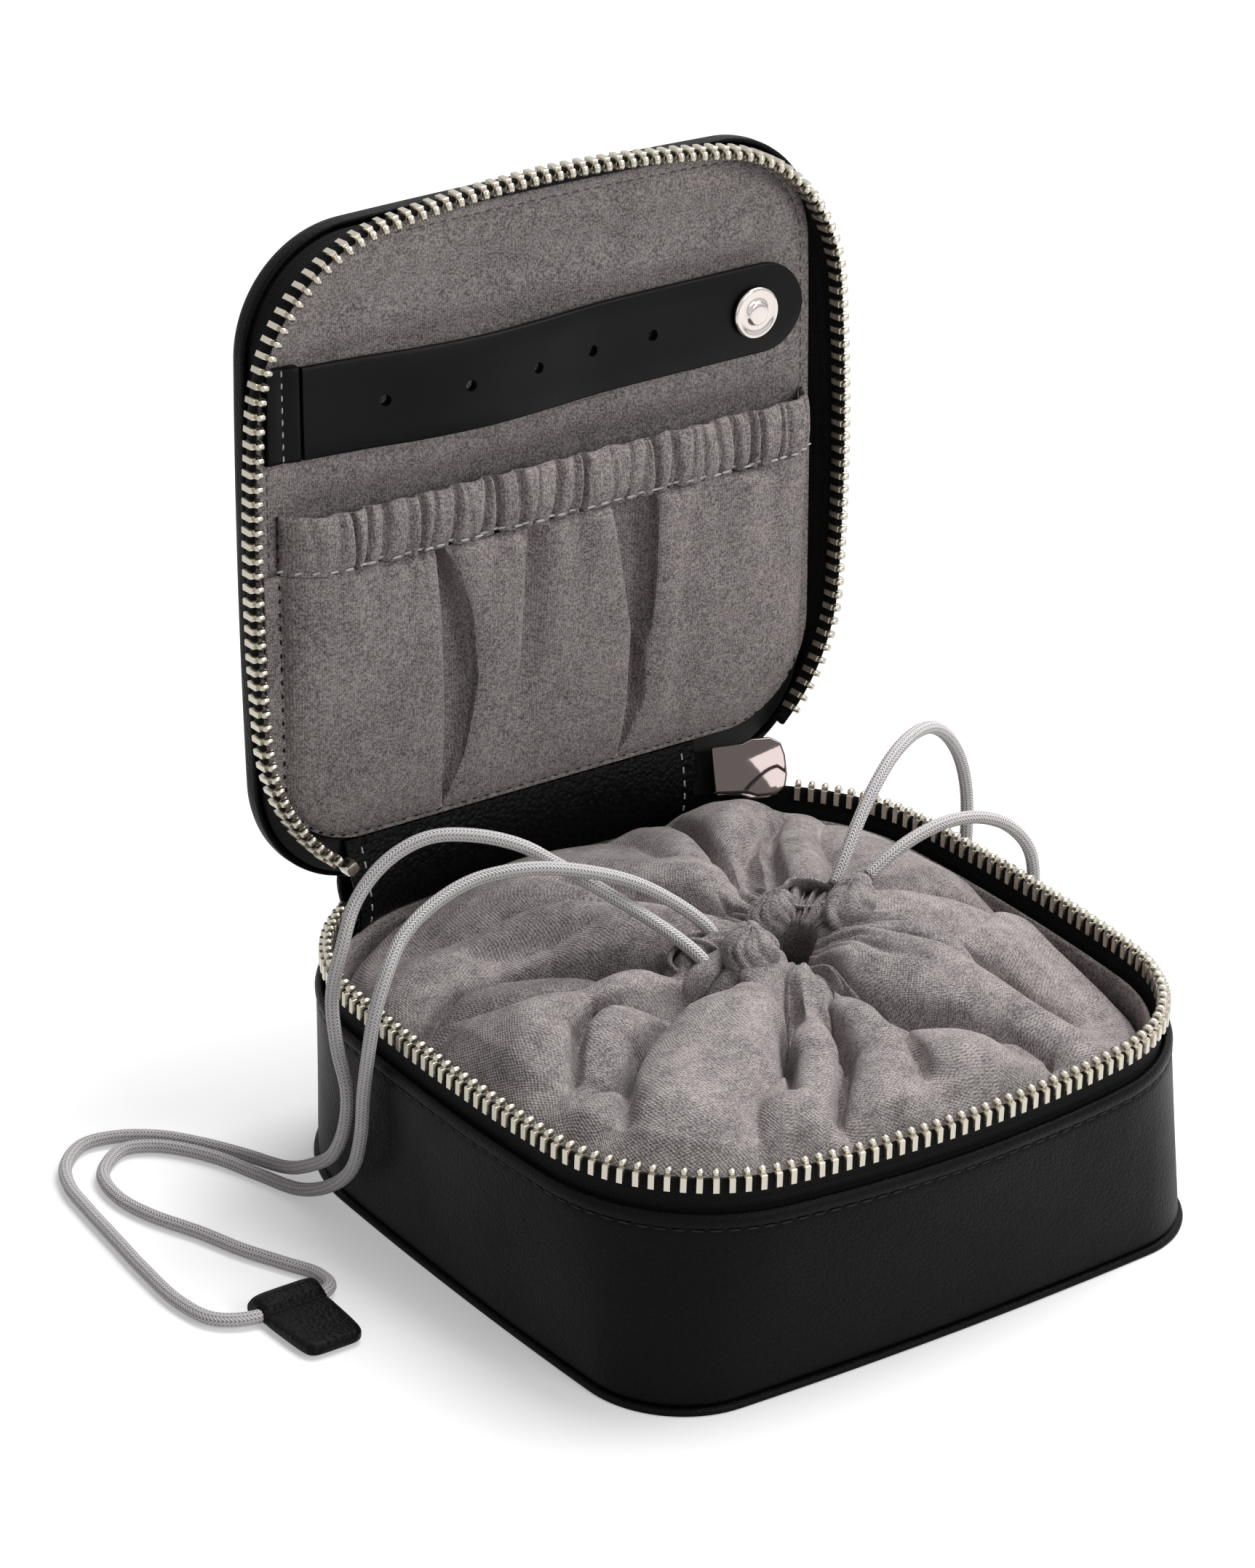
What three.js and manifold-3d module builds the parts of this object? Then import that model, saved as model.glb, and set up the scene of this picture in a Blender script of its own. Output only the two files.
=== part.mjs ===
// Square leather jewelry case, standing open: a zip-round base and lid joined by a leather
// spine, an earring strap and a gathered pocket in the lid, a drawstring pouch in the base.
// Millimetres, +Z up, +Y towards the hinge. The origin is the centre of the underside.
// Lid pieces are drawn as they lie when the case is shut, then swung open about the hinge.
import * as THREE from 'three';
import { mergeVertices } from 'three/addons/utils/BufferGeometryUtils.js';
import Module from 'manifold-3d';

const wasm = await Module();
wasm.setup();

// Driving dimensions

// Zipper line seen from above, a square with bowed sides
const chainHalf = 63;
const sideBow = 400;
const frontBow = 223;
const frontCorner = 31.6;
const backCorner = 36.5;

// Foot of the case, straighter than its rim
const footHalf = chainHalf - 0.8;
const footBow = 900;
const footFrontCorner = 18;
const footBackCorner = 30;

// Base walls
const seam = 0.3;
const meshHeight = 42.8;
const rimDrop = 7.1;
const rimHeight = meshHeight - rimDrop;
const rimOverhang = 1.75;
const leather = 1.5;
const soleThickness = 1.2;
const soleLip = 0.8;
const boardThickness = 1.8;
const wallBoard = 1.0;
const wallBoardTop = rimHeight - 7.2;
const lining = 1.0;
const liningRise = 0.9;

// Zipper
const pitch = 2.56;
const toothTip = 0.45;
const toothLeg = 3.3;
const legWidth = 1.25;
const headWidth = 0.75;
const toothThickness = 2.2;
const headThickness = 1.5;
const tapeThickness = 0.6;
const tapeHem = 5.5;
const cordEdge = 0.9;
const cordEdgeLift = 0.12;
const cordEdgeRise = 2.3;
const leftChainEnd = -44;
const rightChainEnd = 51;
const baseTapeRightEnd = 34.5;
const lidTapeRightEnd = 50.2;
const tapeTuck = 0.3;
const stopLength = 2.4;
const stopThickness = 2.6;
const stopHeight = 3.4;

// Lid panel
const lidInset = 2;
const lidHalf = chainHalf - lidInset;
const lidBow = 1500;
const lidCorner = 22;
const lidDepth = 11.9;
const lidLeather = 1.2;
const lidEdgeRound = 2.6;
const liningDepth = 6.4;
const lidLiningThickness = 0.8;
const lidLiningInset = 2.1;
const hingeY = chainHalf - 5.4;
const lidLiningBack = hingeY - 5.2;
const lidLiningCorner = 20;
const backingThickness = 1.5;
const paddingThickness = 0.9;

// Hinge line in the spine and the opening angle that the case stands at
const hingeZ = meshHeight + 5.2;
const openAngle = 92.6;

// Spine
const spineLeft = -43.2;
const spineRight = 33.2;
const spineThickness = 1.3;
const spineLiningThickness = 1.0;
const outerFootPull = new THREE.Vector2(1.4, 4);
const outerHeadPull = new THREE.Vector2(0.6, -3);
const innerFootPull = new THREE.Vector2(-2.3, 4);
const innerHeadPull = new THREE.Vector2(-2.3, -6);

// Gathered pocket on the lid lining, measured from the hinge along the lid
const pocketLeft = -56;
const pocketRight = 56.4;
const pocketFoot = 6.5;
const pocketTop = 66;
const casingHeight = 10.5;
const pocketSeams = [-23, 18];
const pocketCorner = 14;
const pocketCloth = 0.9;
const pocketBulge = 7.6;

// Earring strap
const strapLeft = -51.2;
const strapTip = 53.5;
const strapMiddle = 87;
const strapWidth = 16.6;
const strapThickness = 1.6;
const strapHoleRadius = 1.05;
const strapHoles = [-36, -20, -5.5, 7.2, 20.5];
const anchorLength = 6.4;
const anchorThickness = 2.6;

// Snap fastener
const snapX = 42.6;
const capRadius = 4.75;
const capHeight = 1.7;
const socketRadius = 3.7;
const studRadius = 3.5;
const studBall = 1.5;

// Zip slider and its pull
const sliderX = 42;
const sliderY = hingeY - 2;
const sliderRise = 1.3;
const sliderLength = 15;
const sliderHalfWidth = 5.6;
const plateThickness = 1.2;
const channel = 3.6;
const bailRise = 3.2;
const bailBar = 1.2;
const bailWidth = 4.2;
const pullLength = 22;
const pullWidth = 6.6;
const pullThickness = 1.3;
const pullDroop = 12;

// Drawstring pouch
const pouchCentre = new THREE.Vector2(8, -3);
const pouchMouth = 4.6;
const pouchCloth = 1.2;
const pouchDrop = 11.2;
const pouchBase = meshHeight - pouchDrop;

// Drawstrings and their leather tabs
const cordRadius = 1.2;
const cordSides = 8;
const tabWidth = 13;
const tabLength = 18.5;
const tabTip = 2.6;
const tabTaper = 0.88;
const tabRoll = 2.2;
const tabFlat = 1.45;
const tabSeam = 5.6;
const tabLift = 0.06;
const leftTabX = -89.6;
const leftTabY = 7.2;
const rightTabX = 86;
const rightTabY = 12.4;

// Outlines: tangent arcs, numbered anticlockwise from the middle of the right side
const sideSteps = 2;
const cornerSteps = 7;

const chainLine = {
  halfX: chainHalf, halfY: chainHalf, bowX: sideBow, bowY: frontBow,
  front: frontCorner, back: backCorner, centreY: 0,
};
const rimLine = grown(chainLine, rimOverhang);
const footLine = {
  halfX: footHalf, halfY: footHalf, bowX: footBow, bowY: footBow,
  front: footFrontCorner, back: footBackCorner, centreY: 0,
};
const lidLine = {
  halfX: lidHalf, halfY: lidHalf, bowX: lidBow, bowY: lidBow,
  front: lidCorner, back: lidCorner, centreY: 0,
};
const lidLiningLine = {
  halfX: lidHalf - lidLiningInset, halfY: (lidHalf - lidLiningInset + lidLiningBack) / 2,
  bowX: lidBow, bowY: lidBow, front: lidLiningCorner, back: lidLiningCorner,
  centreY: (lidLiningBack - lidHalf + lidLiningInset) / 2,
};

function grown(line, amount) {
  return {
    halfX: line.halfX + amount, halfY: line.halfY + amount,
    bowX: line.bowX + amount, bowY: line.bowY + amount,
    front: line.front + amount, back: line.back + amount, centreY: line.centreY,
  };
}

// The corner arc touches both bowed sides, so its centre lies on two circles
function cornerArc(line, radius) {
  const sideCentre = new THREE.Vector2(line.halfX - line.bowX, 0);
  const endCentre = new THREE.Vector2(0, line.halfY - line.bowY);
  const sideReach = line.bowX - radius;
  const endReach = line.bowY - radius;
  const apart = sideCentre.distanceTo(endCentre);
  const along = (sideReach ** 2 - endReach ** 2 + apart ** 2) / (2 * apart);
  const across = Math.sqrt(sideReach ** 2 - along ** 2);
  const direction = endCentre.clone().sub(sideCentre).divideScalar(apart);
  const middle = sideCentre.clone().addScaledVector(direction, along);
  const first = middle.clone().add(new THREE.Vector2(-direction.y, direction.x).multiplyScalar(across));
  const second = middle.clone().add(new THREE.Vector2(direction.y, -direction.x).multiplyScalar(across));
  const centre = first.x > 0 && first.y > 0 ? first : second;
  const start = centre.clone().sub(sideCentre).angle();
  const end = centre.clone().sub(endCentre).angle();
  return { sideCentre, endCentre, centre, start, end };
}

function quadrant(line, radius, sides, corners) {
  const { sideCentre, endCentre, centre, start, end } = cornerArc(line, radius);
  const points = [];
  const arc = (middle, size, from, to, steps) => {
    for (let i = 0; i < steps; i++) {
      const angle = from + ((to - from) * i) / steps;
      points.push(new THREE.Vector2(Math.cos(angle), Math.sin(angle)).multiplyScalar(size).add(middle));
    }
  };
  arc(sideCentre, line.bowX, 0, start, sides);
  arc(centre, radius, start, end, corners);
  arc(endCentre, line.bowY, end, Math.PI / 2, sides);
  points.push(new THREE.Vector2(0, line.halfY));
  return points;
}

function outline(line, sides = sideSteps, corners = cornerSteps) {
  const back = quadrant(line, line.back, sides, corners);
  const front = quadrant(line, line.front, sides, corners);
  const turned = (list, x, y) => list.map((p) => new THREE.Vector2(p.x * x, p.y * y));
  const round = [
    ...back.slice(0, -1),
    ...turned(back, -1, 1).reverse().slice(0, -1),
    ...turned(front, -1, -1).slice(0, -1),
    ...turned(front, 1, -1).reverse().slice(0, -1),
  ];
  return round.map((p) => new THREE.Vector2(p.x, p.y + line.centreY));
}

function ring(line, grow, z) {
  return outline(grown(line, grow)).map((p) => new THREE.Vector3(p.x, p.y, z));
}

// The base wall leans from the foot line to the rim line
function wallRing(grow, z) {
  const foot = ring(footLine, grow, z);
  const rim = ring(rimLine, grow, z);
  const share = Math.min(1, z / rimHeight);
  return foot.map((p, i) => p.clone().lerp(rim[i], share));
}

// Where a ring crosses a value of x along its back side, as a fractional index
function backIndex(points, x) {
  for (let i = 0; i < points.length; i++) {
    const here = points[i];
    const next = points[(i + 1) % points.length];
    const crosses = here.y > 0 && next.y > 0 && (here.x - x) * (next.x - x) <= 0 && here.x !== next.x;
    if (crosses) return i + (x - here.x) / (next.x - here.x);
  }
  throw new Error('no crossing');
}

function pointAt(points, index) {
  const whole = Math.floor(index);
  const here = points[whole % points.length];
  return here.clone().lerp(points[(whole + 1) % points.length], index - whole);
}

function backEdge(points, x) {
  return pointAt(points, backIndex(points, x)).y;
}

// Solids

function solid(points, faces) {
  const position = new Float32Array(points.flatMap((p) => [p.x, p.y, p.z]));
  let volume = 0;
  for (const [a, b, c] of faces) {
    volume += points[a].dot(new THREE.Vector3().crossVectors(points[b], points[c]));
  }
  const outward = volume < 0 ? faces.map(([a, b, c]) => [a, c, b]) : faces;
  const geometry = new THREE.BufferGeometry();
  geometry.setAttribute('position', new THREE.BufferAttribute(position, 3));
  geometry.setIndex(outward.flat());
  return geometry;
}

function facingOut(geometry) {
  geometry.deleteAttribute('normal');
  geometry.deleteAttribute('uv');
  const merged = mergeVertices(geometry, 1e-4);
  const points = [];
  for (let i = 0; i < merged.attributes.position.count; i++) {
    points.push(new THREE.Vector3().fromBufferAttribute(merged.attributes.position, i));
  }
  const faces = [];
  for (let i = 0; i < merged.index.count; i += 3) {
    const face = Array.from(merged.index.array.slice(i, i + 3));
    if (new Set(face).size === 3) faces.push(face);
  }
  return solid(points, faces);
}

// Joins rings of equal length one to the next. With loop, the last joins the first. Otherwise
// both ends are closed by rungs from the ring's first half to its second, which suits a convex
// outline and a strip whose second half runs back beside the first.
function stack(rings, loop = false) {
  const count = rings[0].length;
  const faces = [];
  const bands = loop ? rings.length : rings.length - 1;
  for (let band = 0; band < bands; band++) {
    const low = band * count;
    const high = ((band + 1) % rings.length) * count;
    for (let i = 0; i < count; i++) {
      const next = (i + 1) % count;
      faces.push([low + i, low + next, high + next], [low + i, high + next, high + i]);
    }
  }
  if (!loop) {
    const last = (rings.length - 1) * count;
    for (let i = 0; i < count / 2 - 1; i++) {
      const [a, b, c, d] = [i, i + 1, count - 2 - i, count - 1 - i];
      faces.push([a, c, b], [a, d, c]);
      faces.push([last + a, last + b, last + c], [last + a, last + c, last + d]);
    }
  }
  return solid(rings.flat(), faces);
}

function toManifold(geometry) {
  const bare = geometry.clone();
  bare.deleteAttribute('normal');
  bare.deleteAttribute('uv');
  const merged = mergeVertices(bare, 1e-4);
  const vertProperties = new Float32Array(merged.attributes.position.array);
  const triVerts = new Uint32Array(merged.index.array);
  return new wasm.Manifold(new wasm.Mesh({ numProp: 3, vertProperties, triVerts }));
}

function fromManifold(body) {
  const mesh = body.getMesh();
  const geometry = new THREE.BufferGeometry();
  geometry.setAttribute('position', new THREE.BufferAttribute(new Float32Array(mesh.vertProperties), 3));
  geometry.setIndex(Array.from(mesh.triVerts));
  return geometry;
}

function fused(first, ...others) {
  return fromManifold(others.reduce((sum, one) => sum.add(toManifold(one)), toManifold(first)));
}

function cut(first, ...tools) {
  return fromManifold(tools.reduce((rest, one) => rest.subtract(toManifold(one)), toManifold(first)));
}

function extruded(shape, depth, holesSteps = 8) {
  return new THREE.ExtrudeGeometry(shape, { depth, bevelEnabled: false, curveSegments: holesSteps });
}

function roundedRectangle(width, height, radius) {
  const x = width / 2;
  const y = height / 2;
  const shape = new THREE.Shape();
  shape.moveTo(-x + radius, -y);
  shape.lineTo(x - radius, -y);
  shape.absarc(x - radius, -y + radius, radius, -Math.PI / 2, 0);
  shape.lineTo(x, y - radius);
  shape.absarc(x - radius, y - radius, radius, 0, Math.PI / 2);
  shape.lineTo(-x + radius, y);
  shape.absarc(-x + radius, y - radius, radius, Math.PI / 2, Math.PI);
  shape.lineTo(-x, -y + radius);
  shape.absarc(-x + radius, -y + radius, radius, Math.PI, 1.5 * Math.PI);
  return shape;
}

// Finishes

const looks = {
  leather: { color: 0x141414, roughness: 0.5, metalness: 0 },
  board: { color: 0x6f6558, roughness: 0.9, metalness: 0 },
  foam: { color: 0x2c2c2e, roughness: 0.95, metalness: 0 },
  suede: { color: 0x8c8282, roughness: 0.95, metalness: 0 },
  pouch: { color: 0xa59b9b, roughness: 0.95, metalness: 0 },
  tape: { color: 0x161616, roughness: 0.9, metalness: 0 },
  nickel: { color: 0xc9c2b2, roughness: 0.25, metalness: 1 },
  cord: { color: 0xafaaac, roughness: 0.85, metalness: 0 },
};

function piece(name, look, geometry, parent) {
  const mesh = new THREE.Mesh(geometry, new THREE.MeshStandardMaterial(looks[look]));
  mesh.name = name;
  parent.add(mesh);
  return mesh;
}

const group = new THREE.Group();
const base = new THREE.Group();
group.add(base);

// Swings what is drawn shut about the hinge line
function swung(angle) {
  const hinge = new THREE.Group();
  hinge.position.set(0, hingeY, hingeZ);
  hinge.rotation.x = -THREE.MathUtils.degToRad(angle);
  const shut = new THREE.Group();
  shut.position.set(0, -hingeY, -hingeZ);
  hinge.add(shut);
  group.add(hinge);
  return shut;
}
const lid = swung(openAngle);
const slider = swung(openAngle / 2);

function opened(y, z, angle = openAngle) {
  const turned = new THREE.Vector2(y - hingeY, z - hingeZ);
  turned.rotateAround(new THREE.Vector2(), -THREE.MathUtils.degToRad(angle));
  return new THREE.Vector2(hingeY + turned.x, hingeZ + turned.y);
}

// Base: sole, leather wall, stiffeners and lining

piece('base_sole', 'leather', stack([
  wallRing(0, 0),
  wallRing(soleLip, 0.3),
  wallRing(soleLip, soleThickness - 0.3),
  wallRing(0, soleThickness),
]), base);

const wallFoot = soleThickness + seam;
const wallWaist = rimHeight / 2;
piece('base_shell', 'leather', stack([
  wallRing(0, wallFoot),
  wallRing(0, wallWaist),
  wallRing(0, rimHeight - leather),
  wallRing(-leather * 0.2, rimHeight - leather * 0.3),
  wallRing(-leather * 0.6, rimHeight),
  wallRing(-leather, rimHeight - leather * 0.5),
  wallRing(-leather, wallWaist),
  wallRing(-leather, wallFoot),
], true), base);

const boardInset = leather + seam;
const wallBoardInset = leather + 2 * seam;
piece('base_board', 'board', stack([
  wallRing(-boardInset, wallFoot),
  wallRing(-boardInset, wallFoot + boardThickness),
]), base);

const liningFloor = wallFoot + boardThickness + seam;
piece('base_wall_board', 'board', stack([
  wallRing(-wallBoardInset, liningFloor),
  wallRing(-wallBoardInset, wallWaist),
  wallRing(-wallBoardInset, wallBoardTop),
  wallRing(-wallBoardInset - wallBoard, wallBoardTop),
  wallRing(-wallBoardInset - wallBoard, wallWaist),
  wallRing(-wallBoardInset - wallBoard, liningFloor),
], true), base);

const liningOuter = wallBoardInset + wallBoard + seam;
const liningInner = liningOuter + lining;
const liningTop = rimHeight + liningRise;
piece('base_lining', 'suede', stack([
  wallRing(-liningOuter, liningFloor),
  wallRing(-liningOuter, wallWaist),
  wallRing(-liningOuter, liningTop),
  wallRing(-liningInner, liningTop - lining * 0.4),
  wallRing(-liningInner, wallWaist),
  wallRing(-liningInner, liningFloor + 2 * lining),
  wallRing(-liningInner - lining, liningFloor + lining),
]), base);

// Zipper tape: a woven band sewn inside the rim, dipping below the slider at its right end

const legFoot = meshHeight - toothLeg;
const tapeTop = legFoot - seam;
const tapeFoot = rimHeight - tapeHem;

// An open run of the rings along the zipper. Rings 2 and 3 carry the teeth; past the chain's
// end they are tucked back a little towards rings 1 and 4, clear of the slider.
function openBand(rings, rightEnd) {
  const path = outline(chainLine);
  const count = path.length;
  const start = backIndex(path, leftChainEnd);
  const end = backIndex(path, rightEnd) + count;
  const stops = [start];
  for (let i = Math.ceil(start + 0.2); i < end - 0.2; i++) stops.push(i);
  const clearOfSlider = backIndex(path, rightChainEnd - 1) + count;
  stops.push(end);
  if (rightEnd < rightChainEnd - 1) stops.push(clearOfSlider, clearOfSlider + 0.12);
  stops.sort((a, b) => a - b);
  return stops.map((stop) => rings.map((points, row) => {
    const p = pointAt(points, stop);
    if (stop > clearOfSlider && row === 2) p.lerp(pointAt(rings[1], stop), tapeTuck);
    if (stop > clearOfSlider && row === 3) p.lerp(pointAt(rings[4], stop), tapeTuck);
    return p;
  }));
}

const tapeInset = leather + seam;
const baseTapeRings = [
  wallRing(-tapeInset, tapeFoot),
  wallRing(-tapeInset, rimHeight - 0.5),
  wallRing(-rimOverhang + tapeThickness / 2, tapeTop),
  wallRing(-rimOverhang - tapeThickness / 2, tapeTop),
  wallRing(-tapeInset - tapeThickness, rimHeight - 0.5),
  wallRing(-tapeInset - tapeThickness, tapeFoot),
];
const baseBand = openBand(baseTapeRings, baseTapeRightEnd);
piece('base_zipper_tape', 'tape', stack(baseBand), base);

// Zipper chain: metal teeth clamped on the corded edge of the tape

const fineSideSteps = 24;
const fineCornerSteps = 40;
const chainPath = outline(chainLine, fineSideSteps, fineCornerSteps);
const chainLengths = [0];
for (let i = 1; i <= chainPath.length; i++) {
  const step = chainPath[i % chainPath.length].distanceTo(chainPath[i - 1]);
  chainLengths.push(chainLengths[i - 1] + step);
}
const chainLoop = chainLengths[chainPath.length];

function lengthAt(index) {
  const whole = Math.floor(index);
  return chainLengths[whole] + (index - whole) * (chainLengths[whole + 1] - chainLengths[whole]);
}

function chainFrame(length) {
  const wrapped = ((length % chainLoop) + chainLoop) % chainLoop;
  let i = 0;
  while (chainLengths[i + 1] < wrapped) i++;
  const here = chainPath[i];
  const next = chainPath[(i + 1) % chainPath.length];
  const share = (wrapped - chainLengths[i]) / (chainLengths[i + 1] - chainLengths[i]);
  const along = next.clone().sub(here).normalize();
  return { at: here.clone().lerp(next, share), along, out: new THREE.Vector2(along.y, -along.x) };
}

function chainPoint(length, ahead, outwards, z) {
  const { at, along, out } = chainFrame(length);
  const p = at.clone().addScaledVector(along, ahead).addScaledVector(out, outwards);
  return new THREE.Vector3(p.x, p.y, z);
}

const chainStart = lengthAt(backIndex(chainPath, leftChainEnd)) + stopLength + seam;
const chainEnd = lengthAt(backIndex(chainPath, rightChainEnd)) + chainLoop;
const teeth = Math.floor((chainEnd - chainStart) / pitch - 0.5);

// A four-cornered ring of a tooth or stop
function toothRing(length, width, thickness, z) {
  return [[-1, -1], [1, -1], [1, 1], [-1, 1]].map(([a, b]) => (
    chainPoint(length, (a * width) / 2, (b * thickness) / 2, z)));
}

// One end face of a tooth: its four corners, then the three corners of the corded edge where
// the edge enters the sloping face. ahead is -1 for the near face and 1 for the far one.
function toothFace(length, ahead, level) {
  const half = (rise) => {
    const share = rise / (toothLeg + toothTip);
    return (ahead * (legWidth + (headWidth - legWidth) * share)) / 2;
  };
  const at = (rise, out) => chainPoint(length, half(rise), out, level(rise - toothLeg));
  const top = toothLeg + toothTip;
  return [
    at(0, -toothThickness / 2), at(0, toothThickness / 2), at(top, headThickness / 2),
    at(top, -headThickness / 2), at(cordEdgeLift, -cordEdge / 2), at(cordEdgeLift, cordEdge / 2),
    at(cordEdgeLift + cordEdgeRise, 0),
  ];
}

// Triangles between a tooth's outline, corners 0 to 3, and the corded edge, corners 4 to 6
const facePattern = [[0, 1, 5], [0, 5, 4], [1, 2, 5], [2, 6, 5], [2, 3, 6], [3, 4, 6], [3, 0, 4]];

// side is 1 for the base and -1 for the lid, whose teeth hang from above
function zipperChain(side, phase) {
  const level = (z) => meshHeight + side * z;
  const first = chainStart + phase * pitch;
  const edgeEnd = (length) => [
    chainPoint(length, 0, -cordEdge / 2, level(cordEdgeLift - toothLeg)),
    chainPoint(length, 0, cordEdge / 2, level(cordEdgeLift - toothLeg)),
    chainPoint(length, 0, 0, level(cordEdgeLift + cordEdgeRise - toothLeg)),
  ];
  const points = [...edgeEnd(first)];
  const faces = [[0, 2, 1]];
  const strip = (from, to, loop) => loop.forEach((corner, i) => {
    const next = loop[(i + 1) % loop.length];
    faces.push([from + corner, from + next, to + next], [from + corner, to + next, to + corner]);
  });
  let edge = 0;
  for (let tooth = 0; tooth < teeth; tooth++) {
    const length = first + (tooth + 0.5) * pitch;
    const near = points.length;
    const far = near + 7;
    points.push(...toothFace(length, -1, level), ...toothFace(length, 1, level));
    strip(edge, near + 4, [0, 1, 2]);
    facePattern.forEach(([a, b, c]) => faces.push([near + a, near + c, near + b], [far + a, far + b, far + c]));
    strip(near, far, [0, 1, 2, 3]);
    edge = far + 4;
  }
  const end = points.length;
  points.push(...edgeEnd(first + teeth * pitch));
  strip(edge, end, [0, 1, 2]);
  faces.push([end, end + 1, end + 2]);
  return solid(points, faces);
}

function zipperStop(side) {
  const level = (z) => meshHeight + side * z;
  const length = chainStart - seam - stopLength / 2;
  return stack([
    toothRing(length, stopLength, stopThickness, level(-toothLeg)),
    toothRing(length, stopLength, stopThickness, level(-toothLeg + stopHeight * 0.75)),
    toothRing(length, stopLength * 0.7, stopThickness * 0.6, level(-toothLeg + stopHeight - toothTip)),
  ]);
}

piece('base_zipper_chain', 'nickel', zipperChain(1, 0), base);
piece('base_zipper_stop', 'nickel', zipperStop(1), base);
piece('lid_zipper_chain', 'nickel', zipperChain(-1, 0.5), lid);
piece('lid_zipper_stop', 'nickel', zipperStop(-1), lid);

// Lid: leather cover, padding, backing board and lining, all drawn shut

const lidFace = meshHeight + lidDepth;
const lidLiningFront = meshHeight + liningDepth;
const lidLiningBackFace = lidLiningFront + lidLiningThickness;
const backingFront = lidLiningBackFace + seam;
const backingBack = backingFront + backingThickness;
const paddingFront = backingBack + seam;
const paddingBack = paddingFront + paddingThickness;
const coverInside = paddingBack + seam;
const lidRim = lidLiningBackFace;

piece('lid_shell', 'leather', stack([
  ring(lidLine, -lidEdgeRound, coverInside),
  ring(lidLine, -lidLeather, coverInside - 0.5),
  ring(lidLine, -lidLeather, lidRim + 0.4),
  ring(lidLine, -lidLeather * 0.5, lidRim),
  ring(lidLine, 0, lidRim + 0.5),
  ring(lidLine, 0, lidFace - lidEdgeRound),
  ring(lidLine, -lidEdgeRound * 0.3, lidFace - lidEdgeRound * 0.3),
  ring(lidLine, -lidEdgeRound, lidFace),
]), lid);

const backingInset = lidLeather + 0.8;
piece('lid_backing', 'board', stack([
  ring(lidLine, -backingInset, backingFront),
  ring(lidLine, -backingInset, backingBack),
]), lid);
piece('lid_padding', 'foam', stack([
  ring(lidLine, -backingInset - 1, paddingFront),
  ring(lidLine, -backingInset - 1, paddingBack),
]), lid);
piece('lid_lining', 'suede', stack([
  ring(lidLiningLine, -0.3, lidLiningFront),
  ring(lidLiningLine, 0, lidLiningFront + 0.3),
  ring(lidLiningLine, 0, lidLiningBackFace),
]), lid);

const lidTapeTop = meshHeight + toothLeg + seam;
const lidSlot = (lidLeather + lidLiningInset) / 2;
const lidTapeRings = [
  ring(lidLine, -lidSlot + tapeThickness / 2, lidLiningBackFace),
  ring(lidLine, -lidSlot + tapeThickness / 2, lidLiningFront - 0.3),
  ring(chainLine, tapeThickness / 2, lidTapeTop),
  ring(chainLine, -tapeThickness / 2, lidTapeTop),
  ring(lidLine, -lidSlot - tapeThickness / 2, lidLiningFront - 0.3),
  ring(lidLine, -lidSlot - tapeThickness / 2, lidLiningBackFace),
];
const lidBand = openBand(lidTapeRings, lidTapeRightEnd);
piece('lid_zipper_tape', 'tape', stack(lidBand), lid);

// Spine: an outer and an inner strip of leather that bend as the lid swings

function bentStrip(start, startPull, endPull, end, thickness) {
  const curve = new THREE.CubicBezierCurve(start, startPull, endPull, end);
  const near = [];
  const far = [];
  for (let i = 0; i <= 6; i++) {
    const p = curve.getPoint(i / 6);
    const along = curve.getTangent(i / 6);
    const out = new THREE.Vector2(along.y, -along.x).multiplyScalar(thickness / 2);
    near.push(p.clone().add(out));
    far.unshift(p.clone().sub(out));
  }
  return [...near, ...far];
}

function spineStrip(section, steps) {
  const sections = [];
  for (let i = 0; i <= steps; i++) {
    const x = spineLeft + ((spineRight - spineLeft) * i) / steps;
    sections.push(section(x).map((p) => new THREE.Vector3(x, p.x, p.y)));
  }
  return stack(sections);
}

const rimOuter = wallRing(-leather / 2, rimHeight);
const lidOuter = ring(lidLine, -lidLeather / 2, lidRim);
piece('spine_outer', 'leather', spineStrip((x) => {
  const foot = new THREE.Vector2(backEdge(rimOuter, x), rimHeight + 2 * seam);
  const head = opened(backEdge(lidOuter, x), lidRim);
  head.add(new THREE.Vector2(spineThickness, -4 * seam));
  return bentStrip(foot, foot.clone().add(outerFootPull), head.clone().add(outerHeadPull), head, spineThickness);
}, 6), group);

const liningMiddle = wallRing(-liningOuter - lining / 2, liningTop);
piece('spine_inner', 'leather', spineStrip((x) => {
  const foot = new THREE.Vector2(backEdge(liningMiddle, x), liningTop + seam);
  const head = opened(lidLiningBack, lidLiningFront + lidLiningThickness / 2);
  head.y -= seam * 1.5;
  return bentStrip(foot, foot.clone().add(innerFootPull), head.clone().add(innerHeadPull), head, spineLiningThickness);
}, 6), group);

// Gathered pocket: cloth that bellies out between sewn seams below an elastic casing.
// In the lid, distance from the hinge runs to -Y and the cloth stands off the lining to -Z.

const pocketColumns = 8;

function pocketStand(share, number, rise) {
  const arch = Math.max(0, Math.sin(Math.PI * share));
  const gathers = 0.5 * Math.sin(share * Math.PI * 6 + number) * rise * arch;
  return Math.max(0, arch ** 0.7 * pocketBulge * rise ** 0.8 + gathers);
}

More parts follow.
